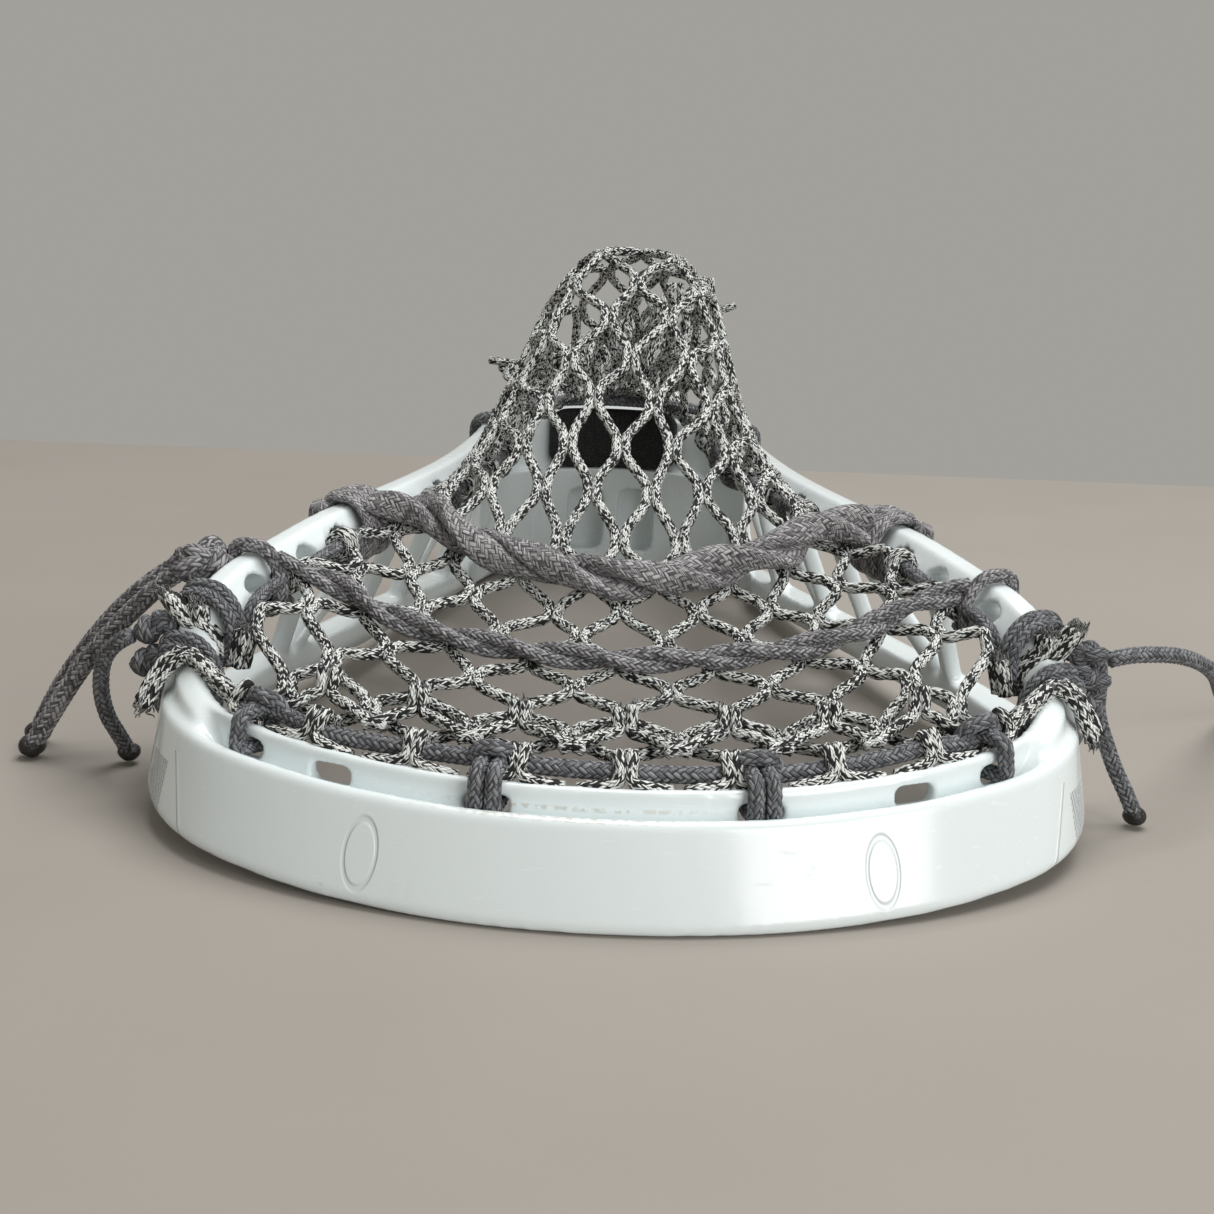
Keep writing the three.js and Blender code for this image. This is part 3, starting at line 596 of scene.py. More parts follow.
def edge_at(line, y, side=1):
    """Point on the right-hand edge at y, and the level direction into the head."""
    right = line[line[:, 0] > 0.5]
    x = np.interp(y, right[:, 1], right[:, 0])
    z = np.interp(y, right[:, 1], right[:, 2])
    slope = np.interp(y + 1, right[:, 1], right[:, 0]) - x
    inward = np.array((-1.0, slope, 0.0)) / math.hypot(1, slope)
    return np.array((side * x, y, z)), inward * (side, 1, 1)


def place(edge, inwards, up):
    return edge[0] + edge[1] * inwards + np.array((0, 0, up))


def scoop_share(y):
    return 1 - ramp(y, 62, 84)


def lean_at(y):
    return blend(1, blend(3, 5, 1 - ramp(y, 5, 45)), scoop_share(y))


def band_top(y):
    return blend(7.0, BAND_HEIGHT, scoop_share(y))


def lower_section(y):
    """Section of the scoop band and lower rail as (inwards, up) from the outer lower edge."""
    lean, top = lean_at(y), band_top(y)
    filled = ramp(y, 25, 33)
    floor = top - GUTTER_DEPTH
    high = top + (FLANGE_HEIGHT + 2.6 * ramp(y, 30, 47)) * (1 - ramp(y, 49, 60))
    flange = lean + FLANGE_SETBACK
    inner = flange + FLANGE_THICKNESS
    return [(0.9, 0), (0.25, 0.4), (0, 1.4), (lean - 0.4, top - 0.8), (lean + 0.3, top),
            (lean + 0.3 + LIP_THICKNESS, top + 0.5 * filled),
            (lean + 2.3, blend(floor, blend(top, high, 0.5) + 0.5, filled)),
            (flange - 0.4, blend(floor, blend(top, high, 0.9) + 0.2, filled)),
            (flange, high - 0.3 + 0.2 * filled), (flange + 0.4, high), (inner, high),
            (inner + 0.4, top - 4),
            (6.5, 0)]


def sweep(line, section_at, step=1.5):
    path = even(line, step)
    path[:, 2] = np.maximum(path[:, 2], 0)
    tangent = np.gradient(path, axis=0)
    inward = unit(np.column_stack([-tangent[:, 1], tangent[:, 0], np.zeros(len(path))]))
    return skin([[p + n * u + (0, 0, v) for u, v in section_at(p[1])]
                 for p, n in zip(path, inward)])


def upper_rail(side):
    line = UPPER_LINE * (side, 1, 1)
    line = line if side > 0 else line[::-1]
    w, d = RAIL_WIDTH, RAIL_DEPTH
    section = [(0.6, 0), (0, -0.6), (0.3, -d + 0.6), (0.9, -d), (w - 0.8, -d), (w - 0.2, -d + 0.6),
               (w, -5.4), (w - 0.5, -4.7), (w - 3.2, -0.5), (w - 3.7, 0)]

    def section_at(y):
        rise = 4.5 * ramp(y, 40, 47.5) * (1 - ramp(y, 48, 53))
        return [(u, v + rise * min(u / 4.0, 1)) if v > -3 else (u, v) for u, v in section]
    return sweep(line, section_at, 1.0)


def web(side, low_y, high_y):
    rings = []
    for y in np.arange(low_y, high_y + 0.1, 1.0):
        low, high = edge_at(LOWER_LINE, y, side), edge_at(UPPER_LINE, y, side)
        inside = lean_at(y) + 0.8
        base = band_top(y) - 3
        rings.append([place(low, inside, base), place(high, 1.6, -5), place(high, 5.0, -5),
                      place(low, inside + 3.4, base)])
    return skin(rings)


# Struts of one sidewall as (y on the lower rail, y on the string rail).
STRUTS = [(106, 92), (106, 124), (140, 132), (164, 156), (164, 178), (198, 188), (198, 210)]


def strut(side, low_y, high_y):
    """Bar between the rails that widens into both of them."""
    low = place(edge_at(LOWER_LINE, low_y, side), 3.2, 3)
    high = place(edge_at(UPPER_LINE, high_y, side), 4, -5.5)
    rise = unit(high - low)
    across = unit(np.cross(rise, (0, 1, 0)))
    along = np.cross(across, rise)
    rings = []
    for t in np.linspace(0, 1, 17):
        half = 2.3 + 3.4 * abs(2 * t - 1) ** 5
        centre = low + (high - low) * t
        rings.append([centre + across * 2.0 * c + along * half * s
                      for c, s in superellipse(12, 4)])
    return skin(rings)


def superellipse(count, power, shift=0.5):
    """Points round a rounded square of half width 1."""
    points = []
    for i in range(count):
        angle = (i + shift) / count * TAU
        c, s = math.cos(angle), math.sin(angle)
        bulge = (abs(c) ** power + abs(s) ** power) ** (-1 / power)
        points.append((c * bulge, s * bulge))
    return points


# Outer shape of the throat and socket: (y, half width, low z, high z).
THROAT = [(236, 33, 0, 44), (262, 31, 0, 44.5), (272, 26.5, 1.2, 44), (283, 22, 4, 43),
          (294, 19, 5.6, 42.3), (312, 18.2, 5.9, 42.1), (325, 18, 6, 42)]


def throat():
    rings = []
    for y, half, low, high in THROAT:
        middle, tall = (low + high) / 2, (high - low) / 2
        rings.append([(half * c, y, middle + tall * s) for c, s in superellipse(48, 6)])
    return skin(rings)


def prism(outline, frame_of, depth):
    """Cutter with an outline of (u, v) points, in a frame of centre, u, v and depth directions."""
    centre, u, v, w = (np.asarray(a, float) for a in frame_of)
    return skin([[centre + u * a + v * b + w * d for a, b in outline] for d in (-depth, depth)])


def rounded(width, height, power=4.0):
    return [(c * width / 2, s * height / 2) for c, s in superellipse(24, power, 0.0)]


def slot_frame(x):
    path = even(LOWER_LINE[LOWER_LINE[:, 1] < 50], 0.5)
    i = int(np.argmin(abs(path[:, 0] - x)))
    tangent = unit((path[i + 1] - path[i - 1]) * (1, 1, 0))
    inward = np.array((-tangent[1], tangent[0], 0))
    return path[i] * (1, 1, 0) + (0, 0, max(path[i][2], 0)), tangent, inward


def slot_up(y):
    return band_top(y) - SLOT_DROP


def slot_cutter(x):
    point, tangent, inward = slot_frame(x)
    reach = lean_at(point[1]) + FLANGE_SETBACK + 1
    centre = point + inward * reach + (0, 0, slot_up(point[1]))
    return prism(rounded(7.5, 3.6), (centre, tangent, (0, 0, 1), inward), 4)


def hole_cutter(side, y):
    edge = edge_at(UPPER_LINE, y, side)
    inward = edge[1]
    along = np.array((-inward[1], inward[0], 0))
    return prism(rounded(6.4, 3.6, 2.2), (place(edge, 4, -HOLE_DROP), along, (0, 0, 1), inward), 7)


def cylinder(centre, radius, half, axes=(0, 1, 2), sides=96, turn=0.0):
    """Cutter along the last of its axes."""
    angles = [i / sides * TAU + turn for i in range(sides)]
    outline = [(radius * math.cos(a), radius * math.sin(a)) for a in angles]
    return prism(outline, (centre, *np.eye(3)[list(axes)]), half)


def bare_object(name, shapes):
    """Plain mesh object in millimetres, outside the scene's pieces, for cutting with."""
    points = np.vstack([p for s in shapes for p in s.points])
    faces, base = [], 0
    for s in shapes:
        faces += [tuple(i + base for i in f) for f in s.faces]
        base += s.count
    mesh = bpy.data.meshes.new(name)
    mesh.from_pydata(points.tolist(), [], faces)
    item = bpy.data.objects.new(name, mesh)
    bpy.context.scene.collection.objects.link(item)
    tool = bmesh.new()
    tool.from_mesh(mesh)
    bmesh.ops.recalc_face_normals(tool, faces=tool.faces)
    tool.to_mesh(mesh)
    tool.free()
    return item


def modify(item, kind, **settings):
    """Adds a modifier to an object and applies it."""
    modifier = item.modifiers.new(kind.lower(), kind)
    for name, value in settings.items():
        setattr(modifier, name, value)
    bpy.context.view_layer.update()
    final = bpy.data.meshes.new_from_object(
        item.evaluated_get(bpy.context.evaluated_depsgraph_get()))
    item.modifiers.clear()
    old, item.data = item.data, final
    bpy.data.meshes.remove(old)


def cut(item, shapes):
    cutter = bare_object("cutter", shapes)
    modify(item, "BOOLEAN", object=cutter, operation="DIFFERENCE", solver="MANIFOLD")
    bpy.data.meshes.remove(cutter.data)


def join(item, others):
    """Adds the meshes of other plain objects to an item's."""
    joined = bmesh.new()
    for other in (item, *others):
        joined.from_mesh(other.data)
    joined.to_mesh(item.data)
    joined.free()
    for other in others:
        bpy.data.meshes.remove(other.data)


def smooth(item, passes):
    """Rounds edges: shrinking and growing passes in turn keep thin walls thick."""
    mesh = item.data
    n = len(mesh.vertices)
    points = np.empty(n * 3)
    mesh.vertices.foreach_get("co", points)
    points = points.reshape(-1, 3)
    edges = np.empty(len(mesh.edges) * 2, int)
    mesh.edges.foreach_get("vertices", edges)
    a, b = edges.reshape(-1, 2).T
    degree = np.bincount(np.concatenate([a, b]), minlength=n)[:, None]
    for amount in [0.55, -0.28] * passes:
        mean = np.empty_like(points)
        for k in range(3):
            mean[:, k] = (np.bincount(a, points[b, k], n) + np.bincount(b, points[a, k], n))
        points = points + amount * (mean / degree - points)
    mesh.vertices.foreach_set("co", points.ravel())
    mesh.update()


def knot_gap(side, y, room):
    """Room under a string rail for the cord that passes round it: room is its length in y."""
    edge = edge_at(UPPER_LINE, y, side)
    along = edge_at(UPPER_LINE, y + 1, side)[0] - edge_at(UPPER_LINE, y - 1, side)[0]
    centre = place(edge, 4, -RAIL_DEPTH - 1.9)
    return prism(rounded(room, 4.4, 5), (centre, along / 2, (0, 0, 1), edge[1]), 9)


def make_head():
    webs = bare_object("webs", [web(s, *ys) for s in (-1, 1) for ys in ((51, 74), (228, 258))])
    gaps = ((TOP_KNOT_Y, 4.6), (SIDE_KNOT_Y, 5.4), (STRING_WRAP_Y, 6.4))
    neck = bare_object("neck", [throat()])
    high = cylinder((0, FACE_LENGTH - BALL_STOP_RADIUS + PAD_THICKNESS + 0.35, SHELF_TOP + 29.9),
                    BALL_STOP_RADIUS, 30)
    cut(neck, [high])
    shapes = [sweep(LOWER_LINE, lower_section), upper_rail(-1), upper_rail(1)]
    shapes += [strut(side, *ys) for side in (-1, 1) for ys in STRUTS]
    head = bare_object("head_frame_moulding", shapes)
    join(head, (webs, neck))
    modify(head, "REMESH", mode="VOXEL", voxel_size=VOXEL)
    slots = [slot_cutter(s * x) for s in (-1, 1) for x in LOOP_SLOTS + EMPTY_SLOTS]
    holes = [hole_cutter(s, y) for s in (-1, 1) for y in EMPTY_HOLES + LACED_HOLES]
    low = cylinder((0, FACE_LENGTH - BALL_STOP_RADIUS, SHELF_TOP - 30), BALL_STOP_RADIUS, 30)
    bore = cylinder((0, HEAD_LENGTH - BORE_DEPTH / 2 + 0.5, SOCKET_Z),
                    BORE_FLATS / 2 / math.cos(math.pi / 8), BORE_DEPTH / 2 + 0.5, (0, 2, 1), 8,
                    math.pi / 8)
    recesses = [prism(rounded(10.5, 18, 6), ((s * 7.25, FACE_LENGTH, 15), (1, 0, 0), (0, 0, 1),
                                             (0, 1, 0)), 5) for s in (-1, 1)]
    cut(head, slots + holes + [low, bore])
    cut(head, [knot_gap(s, *gap) for s in (-1, 1) for gap in gaps])
    cut(head, recesses)
    cut(head, [cylinder((0, HEAD_LENGTH - SCREW_FROM_END, 42), SCREW_HOLE_RADIUS, 10)])
    modify(head, "REMESH", mode="VOXEL", voxel_size=VOXEL * 0.95)
    smooth(head, 2)
    faces = sum(len(p.vertices) - 2 for p in head.data.polygons)
    if faces > FACE_LIMIT:
        modify(head, "DECIMATE", ratio=FACE_LIMIT / faces)
    head.data.transform(Matrix.Translation(to_row((0, 0, 0))) @ Matrix.Scale(0.001, 4))
    for polygon in head.data.polygons:
        polygon.use_smooth = True
    head.data.materials.clear()
    head.data.materials.append(PLASTIC)
    attach(head, ["head_frame"])


make_head()


# ---- the net ----
CROWN_LINE = smooth_curve([(y, z, 0) for y, z in NET_CROWN], 24)
COLUMNS = 16
NET_START, NET_SIDE_START, NET_END = 17.0, 38.0, 243.0
STRING_INSIDE = RAIL_WIDTH + 1.2 + 0.4
FRONT_SPREAD = 76.0
JOINT_HALF_GAP = 1.06
THROAT_WRAP_Y = 224
NET_RELIEF = braid_relief(6, 2.5, 0.24)


def net_edge(y):
    rail_y = np.maximum(y, 66)
    right = UPPER_LINE
    x = np.interp(rail_y, right[:, 1], right[:, 0])
    z = np.interp(rail_y, right[:, 1], right[:, 2])
    slope = np.interp(rail_y + 1, right[:, 1], right[:, 0]) - x
    rail_x = x - (STRING_INSIDE + 1.0) / np.hypot(1, slope)
    low = LOWER_LINE[LOWER_LINE[:, 0] > 0.5]
    scoop_x = np.interp(y, low[:, 1], low[:, 0]) - 17.5
    share = ramp(y, NET_SIDE_START, 66)
    return blend(scoop_x, rail_x, share), blend(22, z - 2.2, share)


def crown_shift(z):
    """How far the bag stands to the right of the middle at a height."""
    return 3 * ramp(z, 55, 95)


def net_point(u, v):
    """Point on the bag: u from side to side (-1 to 1), v from the scoop (0) to the throat (1)."""
    u, v = np.asarray(u, float), np.asarray(v, float)
    middle, side = blend(NET_START, NET_END, v), blend(NET_SIDE_START, NET_END, v)
    edge_x, edge_z = net_edge(side)
    crown = np.interp(middle, CROWN_LINE[:, 0], CROWN_LINE[:, 1])
    w = np.clip(1 - np.abs(u), 0, 1)
    full = 1 - (1 - w) ** (3 + 0.6 * ramp(middle, 90, 130))
    arch = blend(full, np.sin(w * math.pi / 2) ** 1.3, ramp(middle, 212, 236))
    height = blend(edge_z, crown, arch)
    across = u * edge_x + crown_shift(height)
    return np.stack([across, blend(middle, side, u * u), height], axis=-1)


ROW_SPANS, ARC_SPANS = 120, 64
GRID_V = np.linspace(0, 1, ROW_SPANS + 1)
GRID_U = np.linspace(0, 1, 161)


def arc_tables():
    """For each row: u at equal shares of the way from the middle to the side, and that length."""
    shares = np.linspace(0, 1, ARC_SPANS + 1)
    table, reach = [], []
    for v in GRID_V:
        along = lengths_along(net_point(GRID_U, np.full_like(GRID_U, v)))
        table.append(np.interp(shares * along[-1], along, GRID_U))
        reach.append(along[-1])
    return np.array(table), np.array(reach)


ARC_U, ARC_REACH = arc_tables()
MIDDLE_ALONG = lengths_along(net_point(np.zeros_like(GRID_V), GRID_V))


def net_at(share, along):
    """Point at a share of the way from the middle to the side, so far along the middle line."""
    share, along = np.asarray(share, float), np.asarray(along, float)
    v = np.interp(along, MIDDLE_ALONG, GRID_V)
    row = np.clip(v * ROW_SPANS, 0, ROW_SPANS - 0.001)
    col = np.clip(np.abs(share) * ARC_SPANS, 0, ARC_SPANS - 0.001)
    i, j = row.astype(int), col.astype(int)
    a, b = row - i, col - j
    u = ((ARC_U[i, j] * (1 - b) + ARC_U[i, j + 1] * b) * (1 - a)
         + (ARC_U[i + 1, j] * (1 - b) + ARC_U[i + 1, j + 1] * b) * a)
    return net_point(np.sign(share) * u, v)


def reach_at(along):
    return np.interp(np.interp(along, MIDDLE_ALONG, GRID_V), GRID_V, ARC_REACH)


def row_places():
    """How far along the middle line each row of joints lies."""
    places = [1.0]
    while places[-1] < MIDDLE_ALONG[-1] - 9:
        s = places[-1]
        places.append(s + blend(10.4, 13.6, float(ramp(s, 52, 92))))
    return places


ROWS = row_places()


def top_string_at(x):
    """Centre of the top string at x, and the inward direction there."""
    point, _, inward = slot_frame(x)
    y = point[1]
    inner = lean_at(y) + FLANGE_SETBACK + FLANGE_THICKNESS + 0.6 + CORD + 0.7
    return point + inward * inner + (0, 0, band_top(y) + 4.6), inward


def column_share(column):
    return 2 * column / COLUMNS - 1


def net_strand(strand, wander):
    """Points of one zigzag cord, from in front of the top string to the throat string."""
    points = []
    even_column = strand if strand % 2 == 0 else strand + 1
    odd_column = strand + 1 if strand % 2 == 0 else strand
    front = []
    for column, drop, out in ((odd_column, -2.2, 2.6), (even_column, -0.6, 2.4)):
        x = column_share(column) * FRONT_SPREAD
        toward = 1 if column == strand else -1
        limit = FRONT_SPREAD - 2
        centre, inward = top_string_at(float(np.clip(x + toward * JOINT_HALF_GAP, -limit, limit)))
        front.append(centre - inward * out + (0, 0, drop))
        if column == even_column:
            front.append(centre + (0, 0, CORD + NET_CORD + 0.05))
    points += front
    for row, along in enumerate(ROWS):
        column = strand if (strand + row) % 2 == 0 else strand + 1
        toward = 1 if column == strand else -1
        edge = column in (0, COLUMNS)
        length = 2.5 + 0.5 * float(ramp(along, 50, 110))
        for k in (-1, 0, 1):
            s = along + wander[row, column, 1] + k * length
            if row == 0 and k < 1:
                continue
            gap = JOINT_HALF_GAP * (0.93 if k == 0 else 1.12)
            offset = gap / float(reach_at(s)) * toward
            share = column_share(column) + offset
            if not edge:
                share += wander[row, column, 0] / float(reach_at(s))
            p = net_at(np.clip(share, -1, 1), s)
            points.append(p + (0, 0, wander[row, column, 2]))
    return points


def throat_route():
    half = [(33, 224, 48.4), (28, 226, 49.6), (22, 234, 50.5), (12, 245, 50.2), (0, 249.5, 50)]
    return [(-x, y, z) for x, y, z in half[:-1]] + list(reversed(half))


def fan_point(share, height):
    """The net's leftover end behind the throat string: share across, height from foot to top."""
    x = blend(-38, 34, share)
    wave = math.sin(share * math.pi * 5)
    top = blend(58, 84, float(ramp(share, 0.1, 0.85))) - 8 * float(ramp(share, 0.9, 1))
    foot = np.array((x * 0.55, 256.5 + 2 * wave, 49.6))
    return foot + (np.array((x, 263 + 4 * wave, top)) - foot) * height


def make_net():
    chance = np.random.default_rng(11)
    wander = chance.normal(0, 1, (len(ROWS), COLUMNS + 1, 3)) * (0.55, 0.5, 0.25)
    halves, fan = (Shape(), Shape()), Shape()
    for strand in range(COLUMNS):
        net = halves[2 * strand // COLUMNS]
        points = net_strand(strand, wander)
        share = (strand + 0.5) / COLUMNS
        points.append((blend(-19, 19, share), 247.5, 53.2 - 3 * abs(2 * share - 1) ** 2))
        points.append((blend(-18, 18, share), 252.5, 52.4))
        net.cord(route(points, 0.5), NET_CORD, 16, NET_RELIEF, start=strand * 13.7)
        for layer in (0, 1):
            tail = [points[-1]]
            for row, height in enumerate((0.05, 0.3, 0.55, 0.8, 1.0)):
                column = strand if (strand + row + layer) % 2 == 0 else strand + 1
                toward = 1 if column == strand else -1
                spot = fan_point((column + 0.16 * toward) / COLUMNS, height * (1 - 0.12 * layer))
                tail.append(spot + (0, 3.0 * layer, 0) + chance.normal(0, 0.5, 3))
            fan.cord(route(tail, 0.6), NET_CORD, 12, NET_RELIEF, start=strand * 7.7)
    for net, word in zip(halves, ("left", "right")):
        net.object(f"net_{word}", NET, "net_cord", ["pocket_net"])
    fan.object("gathered_net_end", NET, "net_cord", ["net_tail"])


def make_front_fold():
    """Folded first row: cords along the top string that meet in cut stubs standing on the net."""
    chance = np.random.default_rng(5)
    fold = Shape()
    for column in range(2, COLUMNS - 1, 2):
        for toward in (-1, 1):
            other = column_share(column + toward)
            here = column_share(column)
            reach = float(reach_at(10))
            start = net_at(other - toward * 1.1 / reach, 2.2) + (0, 0, 2.0)
            middle = net_at(blend(other, here, 0.55), 6.6) + (0, 0, 2.2)
            foot = net_at(here + toward * 1.1 / reach, 9.0) + (0, 0, 2.3)
            top = foot + (-toward * 0.15, 2.4, 3.4) + chance.normal(0, 0.25, 3)
            before = net_at(other + toward * 2.0 / reach, 1.2) + (0, 0, 1.4)
            path = route([before, start, middle, foot, blend(foot, top, 0.5), top], 0.6)
            fold.cord(path, NET_CORD, 12, NET_RELIEF, start=column * 5.0)
            fray(fold, top, (0, 0.5, 1), 5, 1.3, chance)
    fold.object("net_front_fold", NET, "net_cord")


def fray(shape, centre, direction, count, length, chance, radius=0.85, thick=0.2):
    """Short loose fibres at a cut end."""
    direction = unit(direction)
    for _ in range(count):
        root = np.asarray(centre) + chance.normal(0, radius * 0.4, 3)
        lean = direction + chance.normal(0, 0.45, 3)
        tip = root + unit(lean) * length * chance.uniform(0.6, 1.1)
        bend = (root + tip) / 2 + chance.normal(0, 0.25, 3)
        path = route([root - direction * 0.5, root, bend, tip], 0.5)
        shape.cord(path, np.linspace(thick, thick * 0.4, len(path)), 5,
                   start=float(chance.uniform(0, 50)))


make_net()
make_front_fold()


# ---- lacing ----
def ply(path, offset, pitch, phase):
    """Line that winds round another at a set distance."""
    tangent = unit(np.gradient(path, axis=0))
    up = square_to(tangent, (0, 0, 1))
    side = np.cross(tangent, up)
    angle = lengths_along(path) / pitch * TAU + phase
    return path + up * (offset * np.cos(angle))[:, None] + side * (offset * np.sin(angle))[:, None]


def around_rail(side, y, turns, pitch, radius, start):
    """Winding round a string rail towards the scoop, pitch apart along the rail: start is in
    turns, from the outside over the top."""
    angle = (start + np.linspace(0, 1, int(40 * abs(turns)) + 1) * turns) * TAU
    power = np.where((np.cos(angle) < 0) & (np.sin(angle) > 0), 1.65, 4.0)
    bulge = (np.abs(np.cos(angle)) ** power + np.abs(np.sin(angle)) ** power) ** (-1 / power)
    reach = RAIL_WIDTH / 2 + WRAP_CLEARANCE + radius
    inwards = 4 - reach * np.cos(angle) * bulge
    up = -4 + reach * np.sin(angle) * bulge
    before, after = (edge_at(UPPER_LINE, y + step, 1)[0] for step in (-1, 1))
    stretch = np.linalg.norm(after - before) / 2
    ys = y - pitch / stretch * (np.linspace(0, 1, len(angle)) - 0.5) * abs(turns)
    return [place(edge_at(UPPER_LINE, b, side), n, z) for n, z, b in zip(inwards, up, ys)]


def overhand(centre, size, squeeze=(1, 1, 1), turn=0.0, tilt=0.0):
    """Line of an overhand knot pulled tight, as long as its lump is size across."""
    t = np.linspace(0, TAU, 90, endpoint=False)
    line = np.column_stack([np.sin(t) + 2 * np.sin(2 * t), np.cos(t) - 2 * np.cos(2 * t),
                            -1.3 * np.sin(3 * t)]) * size / 6 * squeeze
    spin = Matrix.Rotation(turn, 3, "Z") @ Matrix.Rotation(tilt, 3, "X")
    return line @ np.array(spin).T + np.asarray(centre)


def make_top_string():
    chance = np.random.default_rng(3)
    xs = [-73, -67, -57, -45, -31, -16, 0, 16, 31, 45, 57, 67, 73]
    string = Shape()
    path = [top_string_at(x)[0] + (0, 0, 0.5 * math.sin(x * 0.35)) for x in xs]
    string.cord(route(path, 0.4), CORD, CORD_SIDES, CORD_RELIEF)
    r = CORD * 0.93
    for x0 in [s * x for s in (-1, 1) for x in LOOP_SLOTS]:
        for toward in ((-1, 1) if abs(x0) < 50 else (0,)):
            x = x0 + toward * 1.45
            point, _, inward = slot_frame(x)
            y = point[1]
            flange = lean_at(y) + FLANGE_SETBACK
            outer, inner = flange - r - 0.25, flange + FLANGE_THICKNESS + r + 0.2
            low, high = slot_up(y), band_top(y) + FLANGE_HEIGHT + r + 0.2
            ring = [(outer, low), (outer + 0.1, (low + high) / 2), (outer + 0.7, high - 0.2),
                    (outer + 2.6, high + 0.5), (inner + 1.2, high), (inner + 2.0, (low + high) / 2),
                    (inner + 0.4, low), ((inner + outer) / 2, low - 0.2)]
            line = [point + inward * n + (0, 0, z) for n, z in ring]
            string.cord(route(line, 0.4, True), r, CORD_SIDES, CORD_RELIEF, closed=True,
                        start=float(chance.uniform(0, 9)))
        # The bight that crosses the string above each pair of legs.
        centre, inward = top_string_at(x0)
        side = np.array((-inward[1], inward[0], 0))
        arch = [centre + side * a + inward * b + (0, 0, c) for a, b, c in (
            (-3.6, 0.6, -0.4), (-2.9, -0.2, 1.9), (-1.0, -1.3, 2.9), (1.0, -1.2, 2.9),
            (2.9, 0, 1.8), (3.6, 0.8, 0))]
        string.cord(route(arch, 0.4), r, CORD_SIDES, CORD_RELIEF)
    string.object("scoop_string", NYLON, "nylon_cord", ["top_string"])


def make_sidewall_strings():
    relief = braid_relief(8, 1.25, 0.28)
    for side, word in SIDES:
        string = Shape()
        points = [place(edge_at(UPPER_LINE, y, side), STRING_INSIDE, -HOLE_DROP)
                  for y in np.linspace(66, LACED_HOLES[-1], 17)]
        points.insert(0, place(edge_at(UPPER_LINE, 62.5, side), 9.2, -7.4))
        string.cord(route(points, 0.42), LACING, 28, relief)
        for y in LACED_HOLES:
            edge = edge_at(UPPER_LINE, y, side)
            reach = LACING + 0.4
            inner, bottom = RAIL_WIDTH + reach, -RAIL_DEPTH - reach
            ring = [(-reach, -4.2), (-reach, bottom + 1), (1, bottom - 0.3), (4, bottom - 0.5),
                    (7, bottom - 0.3), (inner + 0.2, bottom + 1.2), (inner + 0.9, -5.8),
                    (inner + 0.2, -3.4), (6.8, -4), (1.2, -4)]
            line = [place(edge, n, z) for n, z in ring]
            string.cord(route(line, 0.45, True), LACING * 0.95, 28, relief, closed=True)
        string.object(f"{word}_sidewall_lacing", NYLON, "nylon_cord", [f"sidewall_string_{word}"])


def make_net_hitches():
    """Loops of net cord round the sidewall strings, one at each joint of the net's edge."""
    loops = Shape()
    for side in (-1, 1):
        for along in ROWS[2::2]:
            for shift in (-1.0, 1.0):
                p = net_at(side, along + shift)
                if p[1] < 72:
                    continue
                centre = place(edge_at(UPPER_LINE, p[1], side), STRING_INSIDE, -HOLE_DROP)
                inward = edge_at(UPPER_LINE, p[1], side)[1]
                ring = [centre + inward * HITCH_RADIUS * math.cos(a)
                        + (0, 0, HITCH_RADIUS * math.sin(a))
                        for a in np.arange(10) / 10 * TAU]
                loops.cord(route(ring, 0.6, True), NET_CORD * 0.95, 10, NET_RELIEF, closed=True,
                           start=along)
    loops.object("net_hitches", NET, "net_cord")


def make_throat_string():
    string = Shape()
    string.cord(route(throat_route(), 0.4), CORD, CORD_SIDES, CORD_RELIEF)
    for side in (-1, 1):
        wrap = around_rail(side, THROAT_WRAP_Y, 1.6, 2.4, 1.3, -0.3)
        string.cord(even(wrap, 0.4), 1.3, CORD_SIDES, CORD_RELIEF)
    string.object("bottom_string", NYLON, "nylon_cord", ["throat_string"])


def across_net(stations, lift):
    """Route over the net from (x, y, rise) stations of the right half, lying on it."""
    right = []
    vs = np.linspace(0, 1, 400)
    for x, y, rise in stations:
        best = None
        for u in np.linspace(0, 1, 160):
            p = net_point(u, vs)
            gap = np.hypot(p[:, 0] - crown_shift(p[:, 2]) - x, p[:, 1] - y)
            k = int(np.argmin(gap))
            if best is None or gap[k] < best[0]:
                best = (gap[k], p[k, 2])
        right.append((x, y, best[1] + NET_CORD + lift + rise))
    return [(-x, y, z) for x, y, z in reversed(right) if x > 0] + right


def make_shooting_lace():
    relief = braid_relief(16, 1.25, 0.16)
    stations = [(0, 84, 0.2), (18, 88.5, 0.2), (32, 95.5, 0.3), (41, 102, 0.6)]
    points = across_net(stations, 3.7)
    ends = [place(edge_at(UPPER_LINE, LACE_WRAP_Y - 0.5, side), 9.2, -0.6) for side in (-1, 1)]
    path = route([ends[0], *points, ends[1]], 0.5)
    lace = Shape()
    for phase in (0.3, 0.3 + math.pi):
        line = ply(path, 1.9, LACE_TWIST, phase)
        lace.cord(line, 3.0, 48, relief, flat=0.62, twist=1 / LACE_TWIST, start=phase * 9)
    for side in (-1, 1):
        wrap = even(around_rail(side, LACE_WRAP_Y, 2.0, 4.9, 1.3, 0.12), 0.45)
        rail = edge_at(UPPER_LINE, LACE_WRAP_Y, side)[1]
        along = np.array((-rail[1], rail[0], 0.0))
        out = np.cross(np.gradient(wrap, axis=0), along)
        lace.cord(wrap, 2.9, 48, relief, flat=0.46, up=out)
    lace.object("shooting_lace_twisted", LACE, "shooting_lace", ["shooting_lace"])


